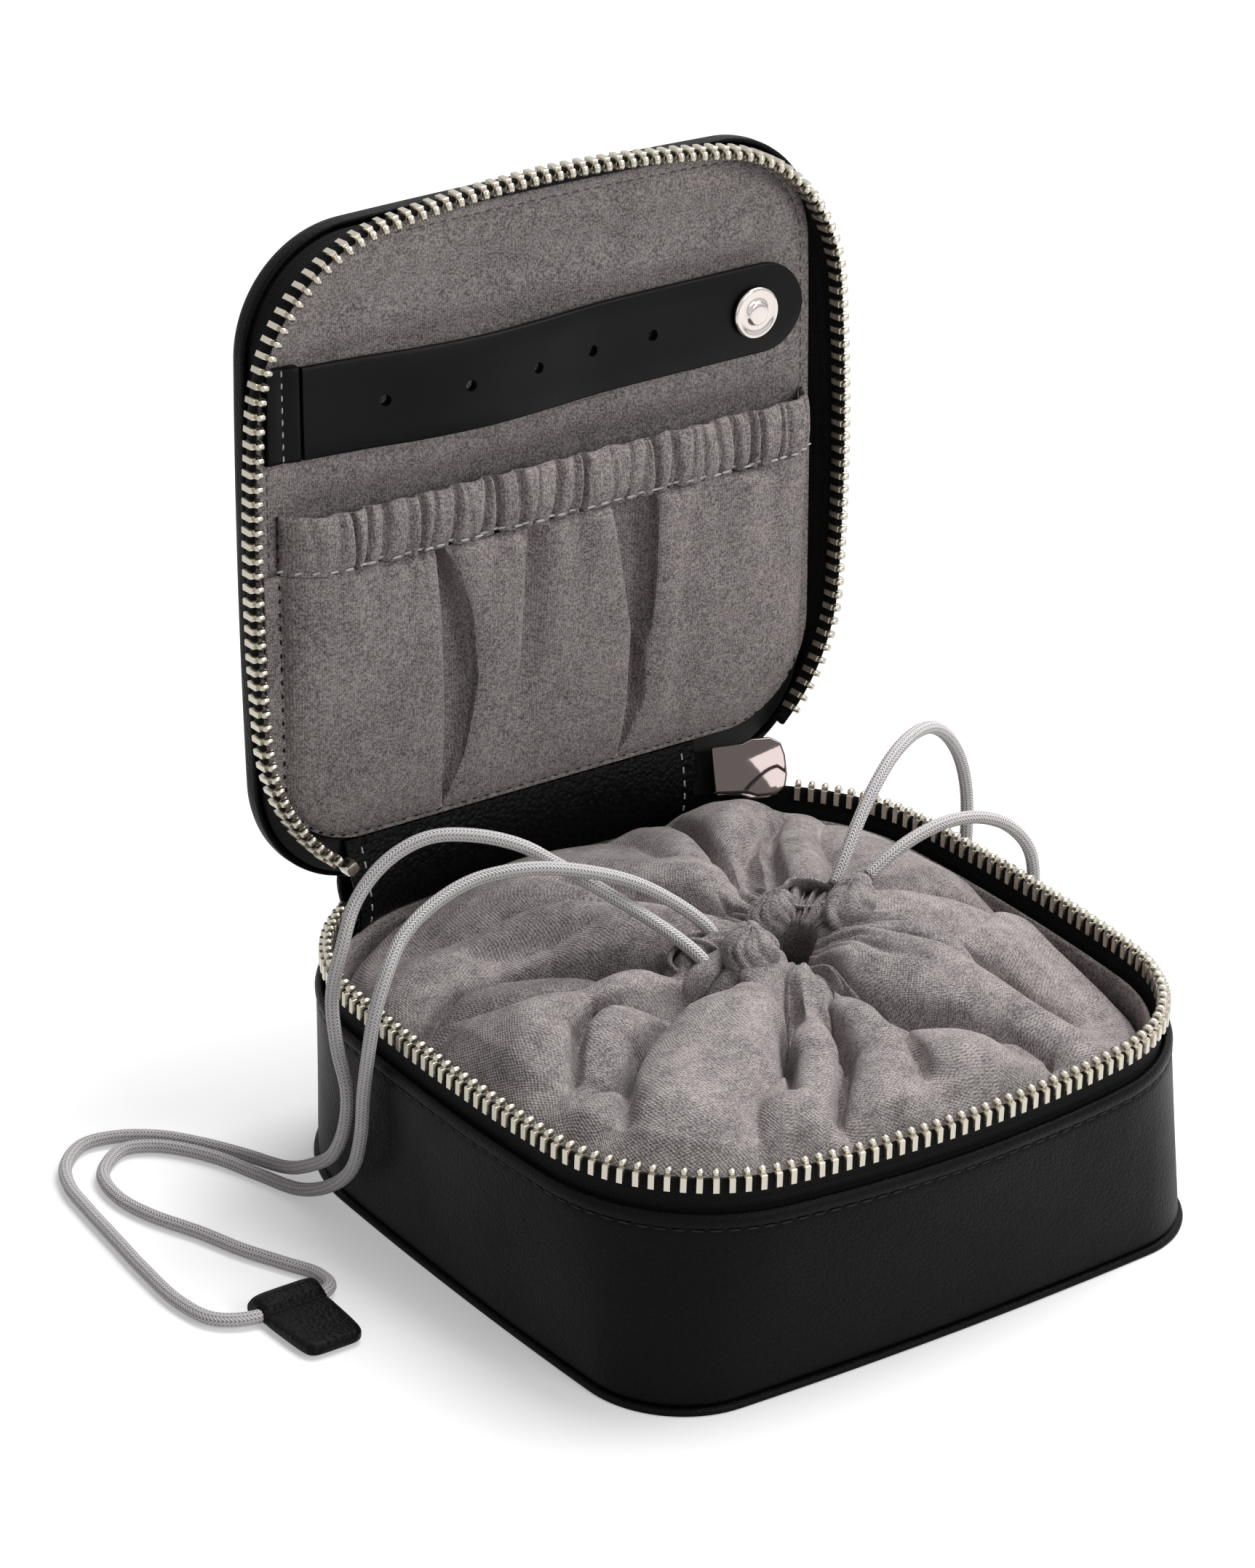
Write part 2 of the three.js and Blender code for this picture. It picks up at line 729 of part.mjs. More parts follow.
function pocketRow(distance, thickness) {
  const rise = (distance - pocketFoot) / (pocketTop - pocketFoot);
  const drop = Math.max(0, pocketCorner - (distance - pocketFoot));
  const cornerIn = pocketCorner - Math.sqrt(pocketCorner ** 2 - drop ** 2);
  const edges = [pocketLeft + cornerIn, ...pocketSeams, pocketRight - cornerIn];
  const y = hingeY - distance;
  const front = [];
  const back = [];
  const column = (x, stand) => {
    back.unshift(new THREE.Vector3(x, y, lidLiningFront - stand));
    front.push(new THREE.Vector3(x, y, lidLiningFront - stand - thickness));
  };
  for (let number = 1; number < edges.length; number++) {
    for (let i = 0; i < pocketColumns; i++) {
      const share = i / pocketColumns;
      const x = edges[number - 1] + (edges[number] - edges[number - 1]) * share;
      column(x, seam + pocketStand(share, number, rise));
    }
  }
  column(edges[edges.length - 1], seam);
  return [...front, ...back];
}

function pocketPart(from, to, rows, thickness) {
  const sections = [];
  for (let i = 0; i <= rows; i++) {
    const share = i / rows;
    sections.push(pocketRow(from + (to - from) * share, thickness(share)));
  }
  return stack(sections);
}

const casingFoot = pocketTop - casingHeight;
piece('pocket_panel', 'suede', pocketPart(pocketFoot, casingFoot - seam, 6, () => pocketCloth), lid);
piece('pocket_casing', 'suede', pocketPart(casingFoot, pocketTop, 4, (share) => (
  pocketCloth + 1.3 * Math.sin(Math.PI * share))), lid);

// Earring strap: sewn at its left end, bowed off the lining, snapped down at its tip

const strapLength = strapTip - strapLeft;
const strapEndStand = 1.6;
const snapStand = 3.1;
const strapBow = new THREE.CatmullRomCurve3([
  [0, strapEndStand], [0.107, 2.9], [0.222, 5.2], [0.336, 6.2], [0.451, 5.2], [0.575, 3.4], [0.699, 3],
  [0.795, snapStand], [(snapX - strapLeft) / strapLength, snapStand], [1, snapStand],
].map(([share, stand]) => new THREE.Vector3(strapLeft + strapLength * share, stand, 0)));

function strapStand(x) {
  const points = strapBow.getSpacedPoints(80);
  const i = Math.max(1, points.findIndex((p, k) => k > 0 && p.x >= x - 1e-6));
  const share = (x - points[i - 1].x) / (points[i].x - points[i - 1].x);
  return points[i - 1].y + share * (points[i].y - points[i - 1].y);
}

function strapSection(x) {
  const round = strapWidth / 2;
  const past = Math.max(0, x - (strapTip - round));
  const half = Math.max(0.8, Math.sqrt(Math.max(0, round * round - past * past)));
  const z = lidLiningFront - strapStand(x);
  const y = hingeY - strapMiddle;
  return [[-half, 0], [half, 0], [half, -strapThickness], [-half, -strapThickness]].map(([dy, dz]) => (
    new THREE.Vector3(x, y + dy, z + dz)));
}

function post(radius, x, y, from, to, sides = 8) {
  const peg = new THREE.CylinderGeometry(radius, radius, to - from, sides);
  peg.rotateX(Math.PI / 2);
  peg.translate(x, y, (from + to) / 2);
  return peg;
}

const strapY = hingeY - strapMiddle;
const snapNeck = 1.3;
const strapStep = 5.2;
const punchDepth = 10;
const strapStations = [];
for (let x = strapLeft; x < strapTip - strapWidth / 2; x += strapStep) strapStations.push(x);
for (let i = 0; i <= 6; i++) {
  strapStations.push(strapTip - strapWidth / 2 + (strapWidth / 2) * Math.sin((Math.PI / 2) * (i / 6)));
}
const strapBlank = stack(strapStations.map(strapSection));
const strapBack = lidLiningFront;
const strapFront = lidLiningFront - punchDepth;
const strapPunches = strapHoles.map((x) => post(strapHoleRadius, x, strapY, strapFront, strapBack));
const strap = new THREE.Group();
lid.add(strap);
piece('earring_strap', 'leather', cut(strapBlank, ...strapPunches,
  post(snapNeck + seam, snapX, strapY, strapFront, strapBack, 10)), strap);

const anchor = extruded(roundedRectangle(anchorLength, strapWidth, 0.8), anchorThickness, 3);
anchor.translate(strapLeft - seam - anchorLength / 2, strapY, lidLiningFront - seam - anchorThickness);
piece('strap_anchor', 'leather', anchor, lid);

// Snap: a domed cap with a neck through the strap, a socket behind it, a stud on the lining

function turnedPart(profile, x, y, z, sides) {
  const geometry = new THREE.LatheGeometry(profile.map(([r, h]) => new THREE.Vector2(r, h)), sides);
  geometry.rotateX(Math.PI / 2);
  geometry.translate(x, y, z);
  return facingOut(geometry);
}

const snapBack = lidLiningFront - strapStand(snapX);
const snapFront = snapBack - strapThickness;
piece('snap_cap', 'nickel', turnedPart([
  [0, -seam - strapThickness], [snapNeck, -seam - strapThickness], [snapNeck, 0], [capRadius, 0],
  [capRadius, 0.5], [capRadius - 0.5, 0.9], [capRadius - 1.3, 1.0], [2.2, 1.1], [2.0, capHeight - 0.3],
  [0, capHeight - 0.1],
].map(([r, h]) => [r, -h]), snapX, strapY, snapFront - seam, 16), strap);
piece('snap_socket', 'nickel', turnedPart([
  [studBall + 0.4, 0], [socketRadius, 0], [socketRadius, 0.9], [socketRadius - 0.7, 1.4],
  [studBall + 0.4, 1.4], [studBall + 0.4, 0],
], snapX, strapY, snapBack + seam, 16), strap);
piece('snap_stud', 'nickel', turnedPart([
  [0, -seam], [studRadius, -seam], [studRadius, -0.8], [studBall - 0.3, -0.9], [studBall, -1.7],
  [studBall - 0.5, -2.2], [0, -2.3],
], snapX, strapY, lidLiningFront, 16), lid);

// Slider: two plates and flanges joined by a wedge, with a bail for the pull on the outside

const sliderZ = meshHeight + sliderRise;
function sliderPlate(thickness) {
  const front = sliderLength / 2;
  const narrow = sliderHalfWidth * 0.82;
  const shape = new THREE.Shape();
  shape.moveTo(-front, -narrow);
  shape.lineTo(-front * 0.15, -narrow);
  shape.lineTo(front * 0.1, -sliderHalfWidth);
  shape.lineTo(front * 0.62, -sliderHalfWidth);
  shape.lineTo(front, -sliderHalfWidth * 0.45);
  shape.lineTo(front, sliderHalfWidth * 0.45);
  shape.lineTo(front * 0.62, sliderHalfWidth);
  shape.lineTo(front * 0.1, sliderHalfWidth);
  shape.lineTo(-front * 0.15, narrow);
  shape.lineTo(-front, narrow);
  const plate = extruded(shape, thickness);
  plate.rotateX(Math.PI / 2);
  return plate;
}

function block(width, depth, height, x, y, z) {
  const box = new THREE.BoxGeometry(width, depth, height);
  box.translate(x, y, z);
  return box;
}

const innerPlate = sliderPlate(plateThickness);
innerPlate.translate(0, -channel / 2, 0);
const outerPlate = sliderPlate(plateThickness);
outerPlate.translate(0, channel / 2 + plateThickness, 0);
const flanges = [];
for (const side of [-1, 1]) {
  for (const face of [-1, 1]) {
    flanges.push(block(sliderLength * 0.56, 0.9, 0.7, -sliderLength * 0.2,
      face * (channel / 2 - 0.2), side * (sliderHalfWidth * 0.82 - 0.4)));
  }
}
const wedge = block(3, channel + 1, 2.8, sliderLength * 0.28, 0, 0);
const bailFoot = channel / 2 + plateThickness;
const bailPosts = [-1, 1].map((side) => block(bailBar, bailRise + 0.4, 1.8,
  (side * (bailWidth + bailBar)) / 2, bailFoot + bailRise / 2 - 0.2, 0));
const bailTop = block(bailWidth + 2 * bailBar, bailBar, 1.8, 0, bailFoot + bailRise - bailBar / 2, 0);
const sliderBody = fused(innerPlate, outerPlate, wedge, ...flanges, ...bailPosts, bailTop);
sliderBody.translate(sliderX, sliderY, sliderZ);
piece('slider_body', 'nickel', sliderBody, slider);

// The pull's eye hooks round the bail's bar and the blade hangs out over the rim
const pullPivotY = sliderY + bailFoot + bailRise - bailBar / 2;
const pullShape = roundedRectangle(pullLength, pullWidth, 2.2);
const eye = new THREE.Path();
eye.absarc(pullLength / 2 - 3.2, 0, 1.5, 0, 2 * Math.PI, true);
pullShape.holes.push(eye);
const blade = extruded(pullShape, pullThickness, 5);
blade.translate(pullLength / 2, 0, -pullThickness / 2);
blade.rotateZ(Math.PI / 2);
const hookWidth = bailWidth - 2 * seam;
const hookReach = 2.2;
blade.translate(0, hookReach, 0);
const hook = [
  block(hookWidth, hookReach + 3, 0.9, 0, hookReach / 2 - 0.3, 0.9 + 0.45 + seam),
  block(hookWidth, hookReach + 3, 0.9, 0, hookReach / 2 - 0.3, -0.9 - 0.45 - seam),
  block(hookWidth, 0.9, 4.2, 0, -1.35 - 0.05, 0),
  block(hookWidth, 1.2, 4.2, 0, hookReach - 0.2, 0),
];
const pull = new THREE.Group();
pull.position.set(sliderX, pullPivotY, sliderZ);
pull.rotation.x = THREE.MathUtils.degToRad(pullDroop);
slider.add(pull);
piece('zip_pull', 'nickel', fused(blade, ...hook), pull);

// Drawstring pouch: a skirt of cloth sewn to the lining and gathered to a neck

// Share of the way from the mouth to the seam, then the cloth's height above its seam there, and
// how deep the folds between the lobes are
const pouchProfile = [
  [1, 0, 0], [0.96, 5.8, 1.4], [0.9, 10.4, 3], [0.8, 13.8, 5], [0.66, 16.2, 6.4], [0.5, 17.9, 6.6],
  [0.36, 19, 5], [0.24, 19.4, 2.4], [0.16, 18.3, 0.8], [0.1, 15.8, 0],
];
const pouchUnderside = [0.1, 0.24, 0.5, 0.8, 0.9, 1];

// Folds, in degrees round the mouth near it and near the seam, and how marked each one is
const pouchFolds = [
  [-165, -159, 1], [-128, -131, 1], [-111, -118, 0.9], [-85, -76, 1.1], [-48, -51, 0.7],
  [-38, 0, 1], [36, 46, 0.75], [82, 90, 0.35], [126, 138, 0.5], [174, 166, 1],
];
const lobeSteps = [0, 0.14, 0.38, 0.62, 0.86];
const lobeWidth = 16;
const lobeRound = 0.62;

// Dips at two corners and where the cords leave: direction and width in degrees, depth, and the
// shares from the mouth between which the dip grows
const pouchDips = [
  [-40, 20, 6, 0.5, 0.8], [142, 16, 4, 0.5, 0.8], [16, 16, 2.05, 0.22, 0.36], [156, 13, 1.45, 0.1, 0.2],
];
const pouchSeamLine = outline(grown(rimLine, -liningInner - 3 * seam), 6, 12);

// How far the seam is from the mouth in one direction
function pouchReach(angle) {
  const toward = new THREE.Vector2(Math.cos(angle), Math.sin(angle));
  for (let i = 0; i < pouchSeamLine.length; i++) {
    const here = pouchSeamLine[i].clone().sub(pouchCentre);
    const next = pouchSeamLine[(i + 1) % pouchSeamLine.length].clone().sub(pouchCentre);
    const [before, after] = [toward.cross(here), toward.cross(next)];
    if (before <= 0 && after > 0) return here.lerp(next, -before / (after - before)).dot(toward);
  }
  throw new Error('no seam in this direction');
}

function foldLine(number, share) {
  const [inner, outer] = pouchFolds[number % pouchFolds.length];
  const angle = inner + (outer - inner) * THREE.MathUtils.clamp((share - 0.3) / 0.6, 0, 1);
  return THREE.MathUtils.degToRad(angle + 360 * Math.floor(number / pouchFolds.length));
}

function pouchDip(angle, share) {
  const dips = pouchDips.map(([centre, width, depth, from, full]) => {
    const window = THREE.MathUtils.clamp((share - from) / (full - from), 0, 1)
      * THREE.MathUtils.clamp((1 - share) / 0.1, 0, 1);
    const apart = THREE.MathUtils.euclideanModulo(THREE.MathUtils.radToDeg(angle) - centre + 180, 360) - 180;
    return window * depth * Math.exp(-((apart / width) ** 2));
  });
  return dips.reduce((sum, dip) => sum + dip, 0);
}

function pouchRing([share, rise, depth], drop) {
  const ringPoints = [];
  for (let lobe = 0; lobe < pouchFolds.length; lobe++) {
    const start = foldLine(lobe, share);
    const width = foldLine(lobe + 1, share) - start;
    const marked = [pouchFolds[lobe][2], pouchFolds[(lobe + 1) % pouchFolds.length][2]];
    for (const step of lobeSteps) {
      const angle = start + width * step;
      const reach = pouchReach(angle);
      const even = (share - 0.1) / 0.9;
      const radius = pouchMouth * (1 - even) + reach * even;
      const narrow = THREE.MathUtils.clamp((width * share * reach) / lobeWidth, 0.25, 1);
      const strength = THREE.MathUtils.lerp(marked[0], marked[1], step);
      const hollow = strength * narrow * (1 - Math.sin(Math.PI * step) ** lobeRound);
      const z = pouchBase + rise - depth * hollow - pouchDip(angle, share) - drop;
      ringPoints.push(new THREE.Vector3(
        pouchCentre.x + radius * Math.cos(angle), pouchCentre.y + radius * Math.sin(angle), z));
    }
  }
  return ringPoints;
}

const pouchTop = pouchProfile.map((row) => pouchRing(row, 0));
const pouchUnder = pouchUnderside.map((share) => (
  pouchRing(pouchProfile.find((row) => row[0] === share), pouchCloth)));
piece('drawstring_pouch', 'pouch', stack([...pouchTop, ...pouchUnder], true), base);

// Drawstrings: two loops out of the pouch, each ending in a folded leather tab

function cord(points, steps) {
  const path = new THREE.CatmullRomCurve3(points.map(([x, y, z]) => new THREE.Vector3(x, y, z)));
  const section = new THREE.Shape();
  section.absarc(0, 0, cordRadius, 0, 2 * Math.PI);
  return new THREE.ExtrudeGeometry(section, {
    steps, extrudePath: path, curveSegments: cordSides / 2, bevelEnabled: false,
  });
}

const leftBackRoute = [
  [-11.5, 3.2, 52], [-15.1, 5.2, 54.4], [-22.4, 9.5, 59.2], [-29.7, 13.4, 64.2], [-35.7, 15.8, 68.2],
  [-42.9, 19.7, 70.4], [-49.5, 23.3, 70.2], [-56, 25.6, 66.8], [-62, 26, 60.8], [-66, 24.4, 53.6],
  [-67.4, 25.3, 44], [-67.2, 23.9, 34.5], [-67, 21.2, 27.5], [-67, 21.8, 20.5], [-67, 25.5, 13],
  [-67, 32, 7.8], [-67.2, 40, 3.4], [-69.3, 50.7, 1.4], [-73.4, 57.9, 1.4], [-78.3, 64.2, 1.4],
  [-84.8, 68.4, 1.4], [-91.2, 69.2, 1.4], [-97.5, 64.5, 1.4], [-100.6, 57.7, 1.4], [-101.8, 49.8, 1.4],
  [-103, 38.2, 1.4], [-104.1, 27, 1.4], [-104.5, 14.8, 1.4], [-102.6, 7.2, 1.5], [-97.2, 3.6, 1.7],
];
const leftFrontRoute = [
  [-6.3, 4, 50.7], [-10.9, 4.4, 55.9], [-19.5, 6.6, 60.9], [-31.1, 9.8, 65], [-38.2, 12.2, 65.8],
  [-45.6, 15.2, 64.5], [-52.8, 16.3, 61.6], [-59.5, 15.6, 57.6], [-64.3, 13.5, 52.4], [-67, 12.8, 46],
  [-67.2, 14.6, 36.5], [-67, 16.1, 29], [-67, 16.8, 21], [-67, 19.3, 13.4], [-67.4, 25, 7.3],
  [-68.6, 33.5, 2.6], [-70.8, 43.4, 1.4], [-73.8, 52.1, 1.4], [-77.9, 58.9, 1.4], [-81.5, 62.3, 1.4],
  [-86, 63.9, 1.4], [-90.8, 61.4, 1.4], [-94.1, 57.4, 1.4], [-95.4, 49.8, 1.4], [-93.9, 42.1, 1.4],
  [-89.7, 32.1, 1.4], [-86.7, 23.5, 1.4], [-83.1, 15.9, 1.4], [-80.3, 9.4, 1.5], [-81.3, 4.6, 1.7],
];
const rightBackRoute = [
  [21.1, 1, 51.4], [24.4, 2.2, 56], [28.5, 4.1, 60.6], [33.5, 6.3, 65], [40, 9.2, 68.5],
  [46.8, 12.1, 69.5], [53, 14.9, 67.9], [59, 17.5, 63.5], [64, 19.6, 57], [66.8, 20.6, 49.5],
  [67.6, 20.8, 41], [67.6, 21.6, 28], [67.6, 24.5, 14], [68.6, 30, 5.4], [70.6, 38, 1.9],
  [74, 50, 1.4], [78, 61, 1.4], [85, 67, 1.4], [92, 63, 1.4], [95.4, 52, 1.4],
  [95.4, 38, 1.4], [95.8, 26, 1.4], [97, 15, 1.5], [94, 8.6, 1.7],
];
const rightFrontRoute = [
  [30.9, 3.6, 49.1], [35.5, 3.5, 52], [42, 3.3, 54.5], [49, 3.1, 55.4], [56, 2.8, 54.2],
  [62.4, 2.4, 50.6], [66.6, 1.8, 45], [67.8, 1.4, 36], [67.6, 1.6, 22], [68.4, 3.6, 9],
  [70.8, 10, 2.2], [75, 20, 1.4], [79.4, 32, 1.4], [82, 44, 1.4], [86, 51, 1.4],
  [89.6, 46, 1.4], [88.6, 34, 1.4], [82.4, 24, 1.4], [76.6, 15, 1.5], [77.9, 8.6, 1.7],
];
piece('cord_left_back', 'cord', cord(leftBackRoute, 26), base);
piece('cord_left_front', 'cord', cord(leftFrontRoute, 25), base);
piece('cord_right_back', 'cord', cord(rightBackRoute, 21), base);
piece('cord_right_front', 'cord', cord(rightFrontRoute, 20), base);

// Tab seen from its side, from the fold to the tip: distance, half height, width. The fold is
// a roll round the cord, closed by a sunk seam, and the end is flat.
const tabProfile = [
  [0, 0.9], [0.8, 1.9], [2, tabRoll], [3.6, 2], [4.9, 1.6], [5.6, 1.1], [6.4, tabFlat], [16, tabFlat],
  [17.6, 1.2], [18.5, 0.4],
];

function tab(x, y) {
  return stack(tabProfile.map(([distance, halfHeight]) => {
    const past = Math.max(0, distance - (tabLength - tabTip)) / tabTip;
    const taper = 1 - (1 - tabTaper) * (distance / tabLength);
    const half = (tabWidth / 2) * taper - tabTip * (1 - Math.sqrt(Math.max(0, 1 - past * past)));
    const middle = tabLift + (distance < tabSeam ? Math.max(halfHeight, tabFlat) : tabFlat);
    const corners = [[-1, -0.6], [-0.85, -1], [0.85, -1], [1, -0.6], [1, 0.6], [0.85, 1], [-0.85, 1], [-1, 0.6]];
    return corners.map(([u, v]) => new THREE.Vector3(x + half * u, y - distance, middle + halfHeight * v));
  }));
}
piece('cord_left_tab', 'leather', tab(leftTabX, leftTabY), base);
piece('cord_right_tab', 'leather', tab(rightTabX, rightTabY), base);

export default group;
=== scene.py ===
import math

import bmesh
import bpy
import numpy as np
from mathutils import Matrix, Vector


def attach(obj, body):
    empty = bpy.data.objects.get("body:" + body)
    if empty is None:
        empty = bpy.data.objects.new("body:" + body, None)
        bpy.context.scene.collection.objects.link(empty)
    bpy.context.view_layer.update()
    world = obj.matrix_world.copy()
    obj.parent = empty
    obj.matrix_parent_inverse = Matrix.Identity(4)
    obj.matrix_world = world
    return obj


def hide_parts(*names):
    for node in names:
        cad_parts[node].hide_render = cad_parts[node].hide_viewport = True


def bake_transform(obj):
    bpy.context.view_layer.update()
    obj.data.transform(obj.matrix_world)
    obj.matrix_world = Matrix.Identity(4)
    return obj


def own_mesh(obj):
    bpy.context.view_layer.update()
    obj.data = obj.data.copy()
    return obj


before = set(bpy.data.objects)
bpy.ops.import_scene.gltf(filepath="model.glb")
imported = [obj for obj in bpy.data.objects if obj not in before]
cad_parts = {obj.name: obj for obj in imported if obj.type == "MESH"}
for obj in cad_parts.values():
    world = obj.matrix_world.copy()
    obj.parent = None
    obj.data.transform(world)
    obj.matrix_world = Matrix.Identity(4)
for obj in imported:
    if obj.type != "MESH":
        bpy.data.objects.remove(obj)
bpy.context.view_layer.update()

mm = 0.001
tau = 2 * math.pi
scene = bpy.context.scene

# Camera, looking at the case from its front left corner and a little above
view_azimuth = math.radians(-36.49)
view_elevation = math.radians(26.08)
view_roll = math.radians(1.68)
view_distance = 0.8817
view_target = Vector((-25.14, 0, 83.49)) * mm
view_lens = 121.1
film_height = 36

towards = Vector((
    math.sin(view_azimuth) * math.cos(view_elevation),
    -math.cos(view_azimuth) * math.cos(view_elevation),
    math.sin(view_elevation),
))
level = Vector((math.cos(view_azimuth), math.sin(view_azimuth), 0))
upright = towards.cross(level)
view_right = level * math.cos(view_roll) + upright * math.sin(view_roll)
view_up = upright * math.cos(view_roll) - level * math.sin(view_roll)
camera_data = bpy.data.cameras.new("camera")
camera_data.sensor_fit = "VERTICAL"
camera_data.sensor_height = film_height
camera_data.lens = view_lens
camera_data.clip_start = 0.05
camera = bpy.data.objects.new("camera", camera_data)
camera.matrix_world = Matrix.Translation(view_target + towards * view_distance) @ Matrix(
    (view_right, view_up, towards)
).transposed().to_4x4()
scene.collection.objects.link(camera)
scene.camera = camera


# Drawstrings: one loop of braided cord on each side, out of the pouch, over the rim, through a
# folded leather tab on the floor and back. The left loop shows, the right one runs down behind.
def new_object(name, mesh, material=None):
    piece = bpy.data.objects.new(name, mesh)
    scene.collection.objects.link(piece)
    if material is not None:
        mesh.materials.append(material)
    return piece


def lengths(points):
    """Distance run along the first axis of points, starting from 0."""
    steps = np.linalg.norm(np.diff(points, axis=0), axis=-1)
    return np.concatenate([np.zeros((1,) + steps.shape[1:]), np.cumsum(steps, axis=0)])


def closed(ring):
    """A ring's points, with the first again at the end."""
    return np.concatenate([ring, ring[:1]])


def turns(count):
    """The angles of count even places round a circle."""
    return np.arange(count) * tau / count


def outward(mesh):
    """Turns a closed mesh's faces out."""
    work = bmesh.new()
    work.from_mesh(mesh)
    bmesh.ops.recalc_face_normals(work, faces=work.faces)
    work.to_mesh(mesh)
    work.free()


def grid_mesh(name, grid, round_columns=True, round_rows=False, caps=False, ends=False,
              material=None):
    """A smooth mesh over grid[row, column], with a UV map in metres: u along the columns."""
    rows, columns = grid.shape[:2]
    index = np.arange(rows * columns).reshape(rows, columns)
    index = np.concatenate([index, index[:, :1]], axis=1) if round_columns else index
    index = closed(index) if round_rows else index
    places = grid.reshape(-1, 3)[index]
    across = np.broadcast_to(lengths(places[len(places) // 2])[None, :], index.shape)
    mesh = bpy.data.meshes.new(name)
    height, width = index.shape[0] - 1, index.shape[1] - 1
    polygons = np.stack(face_corners(index), axis=-1).reshape(-1, 4).tolist()
    if caps:
        polygons += [index[0, :width][::-1].tolist(), index[-1, :width].tolist()]
    if ends:
        polygons += [index[:height, 0].tolist(), index[:height, width][::-1].tolist()]
    mesh.from_pydata(grid.reshape(-1, 3).tolist(), [], polygons)
    lay_cloth(mesh.uv_layers.new(name="cloth"), across, lengths(places))
    outward(mesh)
    mesh.shade_smooth()
    return new_object(name, mesh, material)


def face_corners(values):
    """A grid's values at the four corners of each of its faces."""
    height, width = values.shape[0] - 1, values.shape[1] - 1
    return [values[a:a + height, b:b + width] for a, b in ((0, 0), (0, 1), (1, 1), (1, 0))]


def lay_cloth(layer, u, v):
    """Sets a grid's UV map. The caps and ends, which come last, stay at 0."""
    uv = np.stack([np.stack(face_corners(values), axis=2) for values in (u, v)], axis=-1)
    flat = np.zeros(2 * len(layer.data), np.float32)
    flat[:uv.size] = uv.ravel()
    layer.data.foreach_set("uv", flat)


def resampled(points, count, ring=False):
    """The same line as count points, evenly spaced."""
    line = closed(points) if ring else points
    run = lengths(line)
    at = np.linspace(0, run[-1], count, endpoint=not ring)
    return np.stack([np.interp(at, run, line[:, axis]) for axis in range(line.shape[1])], axis=1)


def curve_through(points):
    """A centripetal Catmull-Rom line through the points, with 12 places in each stretch."""
    knots = np.array(points, float)
    knots = np.concatenate([2 * knots[:1] - knots[1:2], knots, 2 * knots[-1:] - knots[-2:-1]])
    line = []
    for i in range(1, len(knots) - 2):
        four = knots[i - 1:i + 3]
        t = np.concatenate([[0], np.cumsum(np.linalg.norm(np.diff(four, axis=0), axis=1) ** 0.5)])
        for s in np.linspace(t[1], t[2], 12, endpoint=False):
            parts = four
            for span in (1, 2):
                parts = [(parts[k] * (t[k + span] - s) + parts[k + 1] * (s - t[k]))
                         / (t[k + span] - t[k]) for k in range(4 - span)]
            line.append((parts[0] * (t[2] - s) + parts[1] * (s - t[1])) / (t[2] - t[1]))
    return np.array(line + [knots[-2]])


def smooth_path(points, step):
    """The same curve cut into even steps."""
    line = curve_through(points)
    return resampled(line, int(lengths(line)[-1] / step) + 1)


def tube(name, path, radius, sides, material):
    """A closed tube along the path. Its UV map gives the run along it and the turn round it."""
    path = np.asarray(path, float)
    along = np.gradient(path, axis=0)
    along /= np.linalg.norm(along, axis=1)[:, None]
    side = np.cross(along[0], [0.0, 0.0, 1.0])
    if np.linalg.norm(side) < 0.1:
        side = np.cross(along[0], [1.0, 0.0, 0.0])
    rings = []
    angle = turns(sides)[:, None]
    for middle, direction in zip(path, along):
        side = side - direction * side.dot(direction)
        side /= np.linalg.norm(side)
        up = np.cross(direction, side)
        rings.append(middle + radius * (np.cos(angle) * side + np.sin(angle) * up))
    piece = grid_mesh(name, np.array(rings), caps=True, material=material)
    run, turn = np.meshgrid(lengths(path), np.arange(sides + 1) / sides, indexing="ij")
    lay_cloth(piece.data.uv_layers["cloth"], run, turn)
    return piece


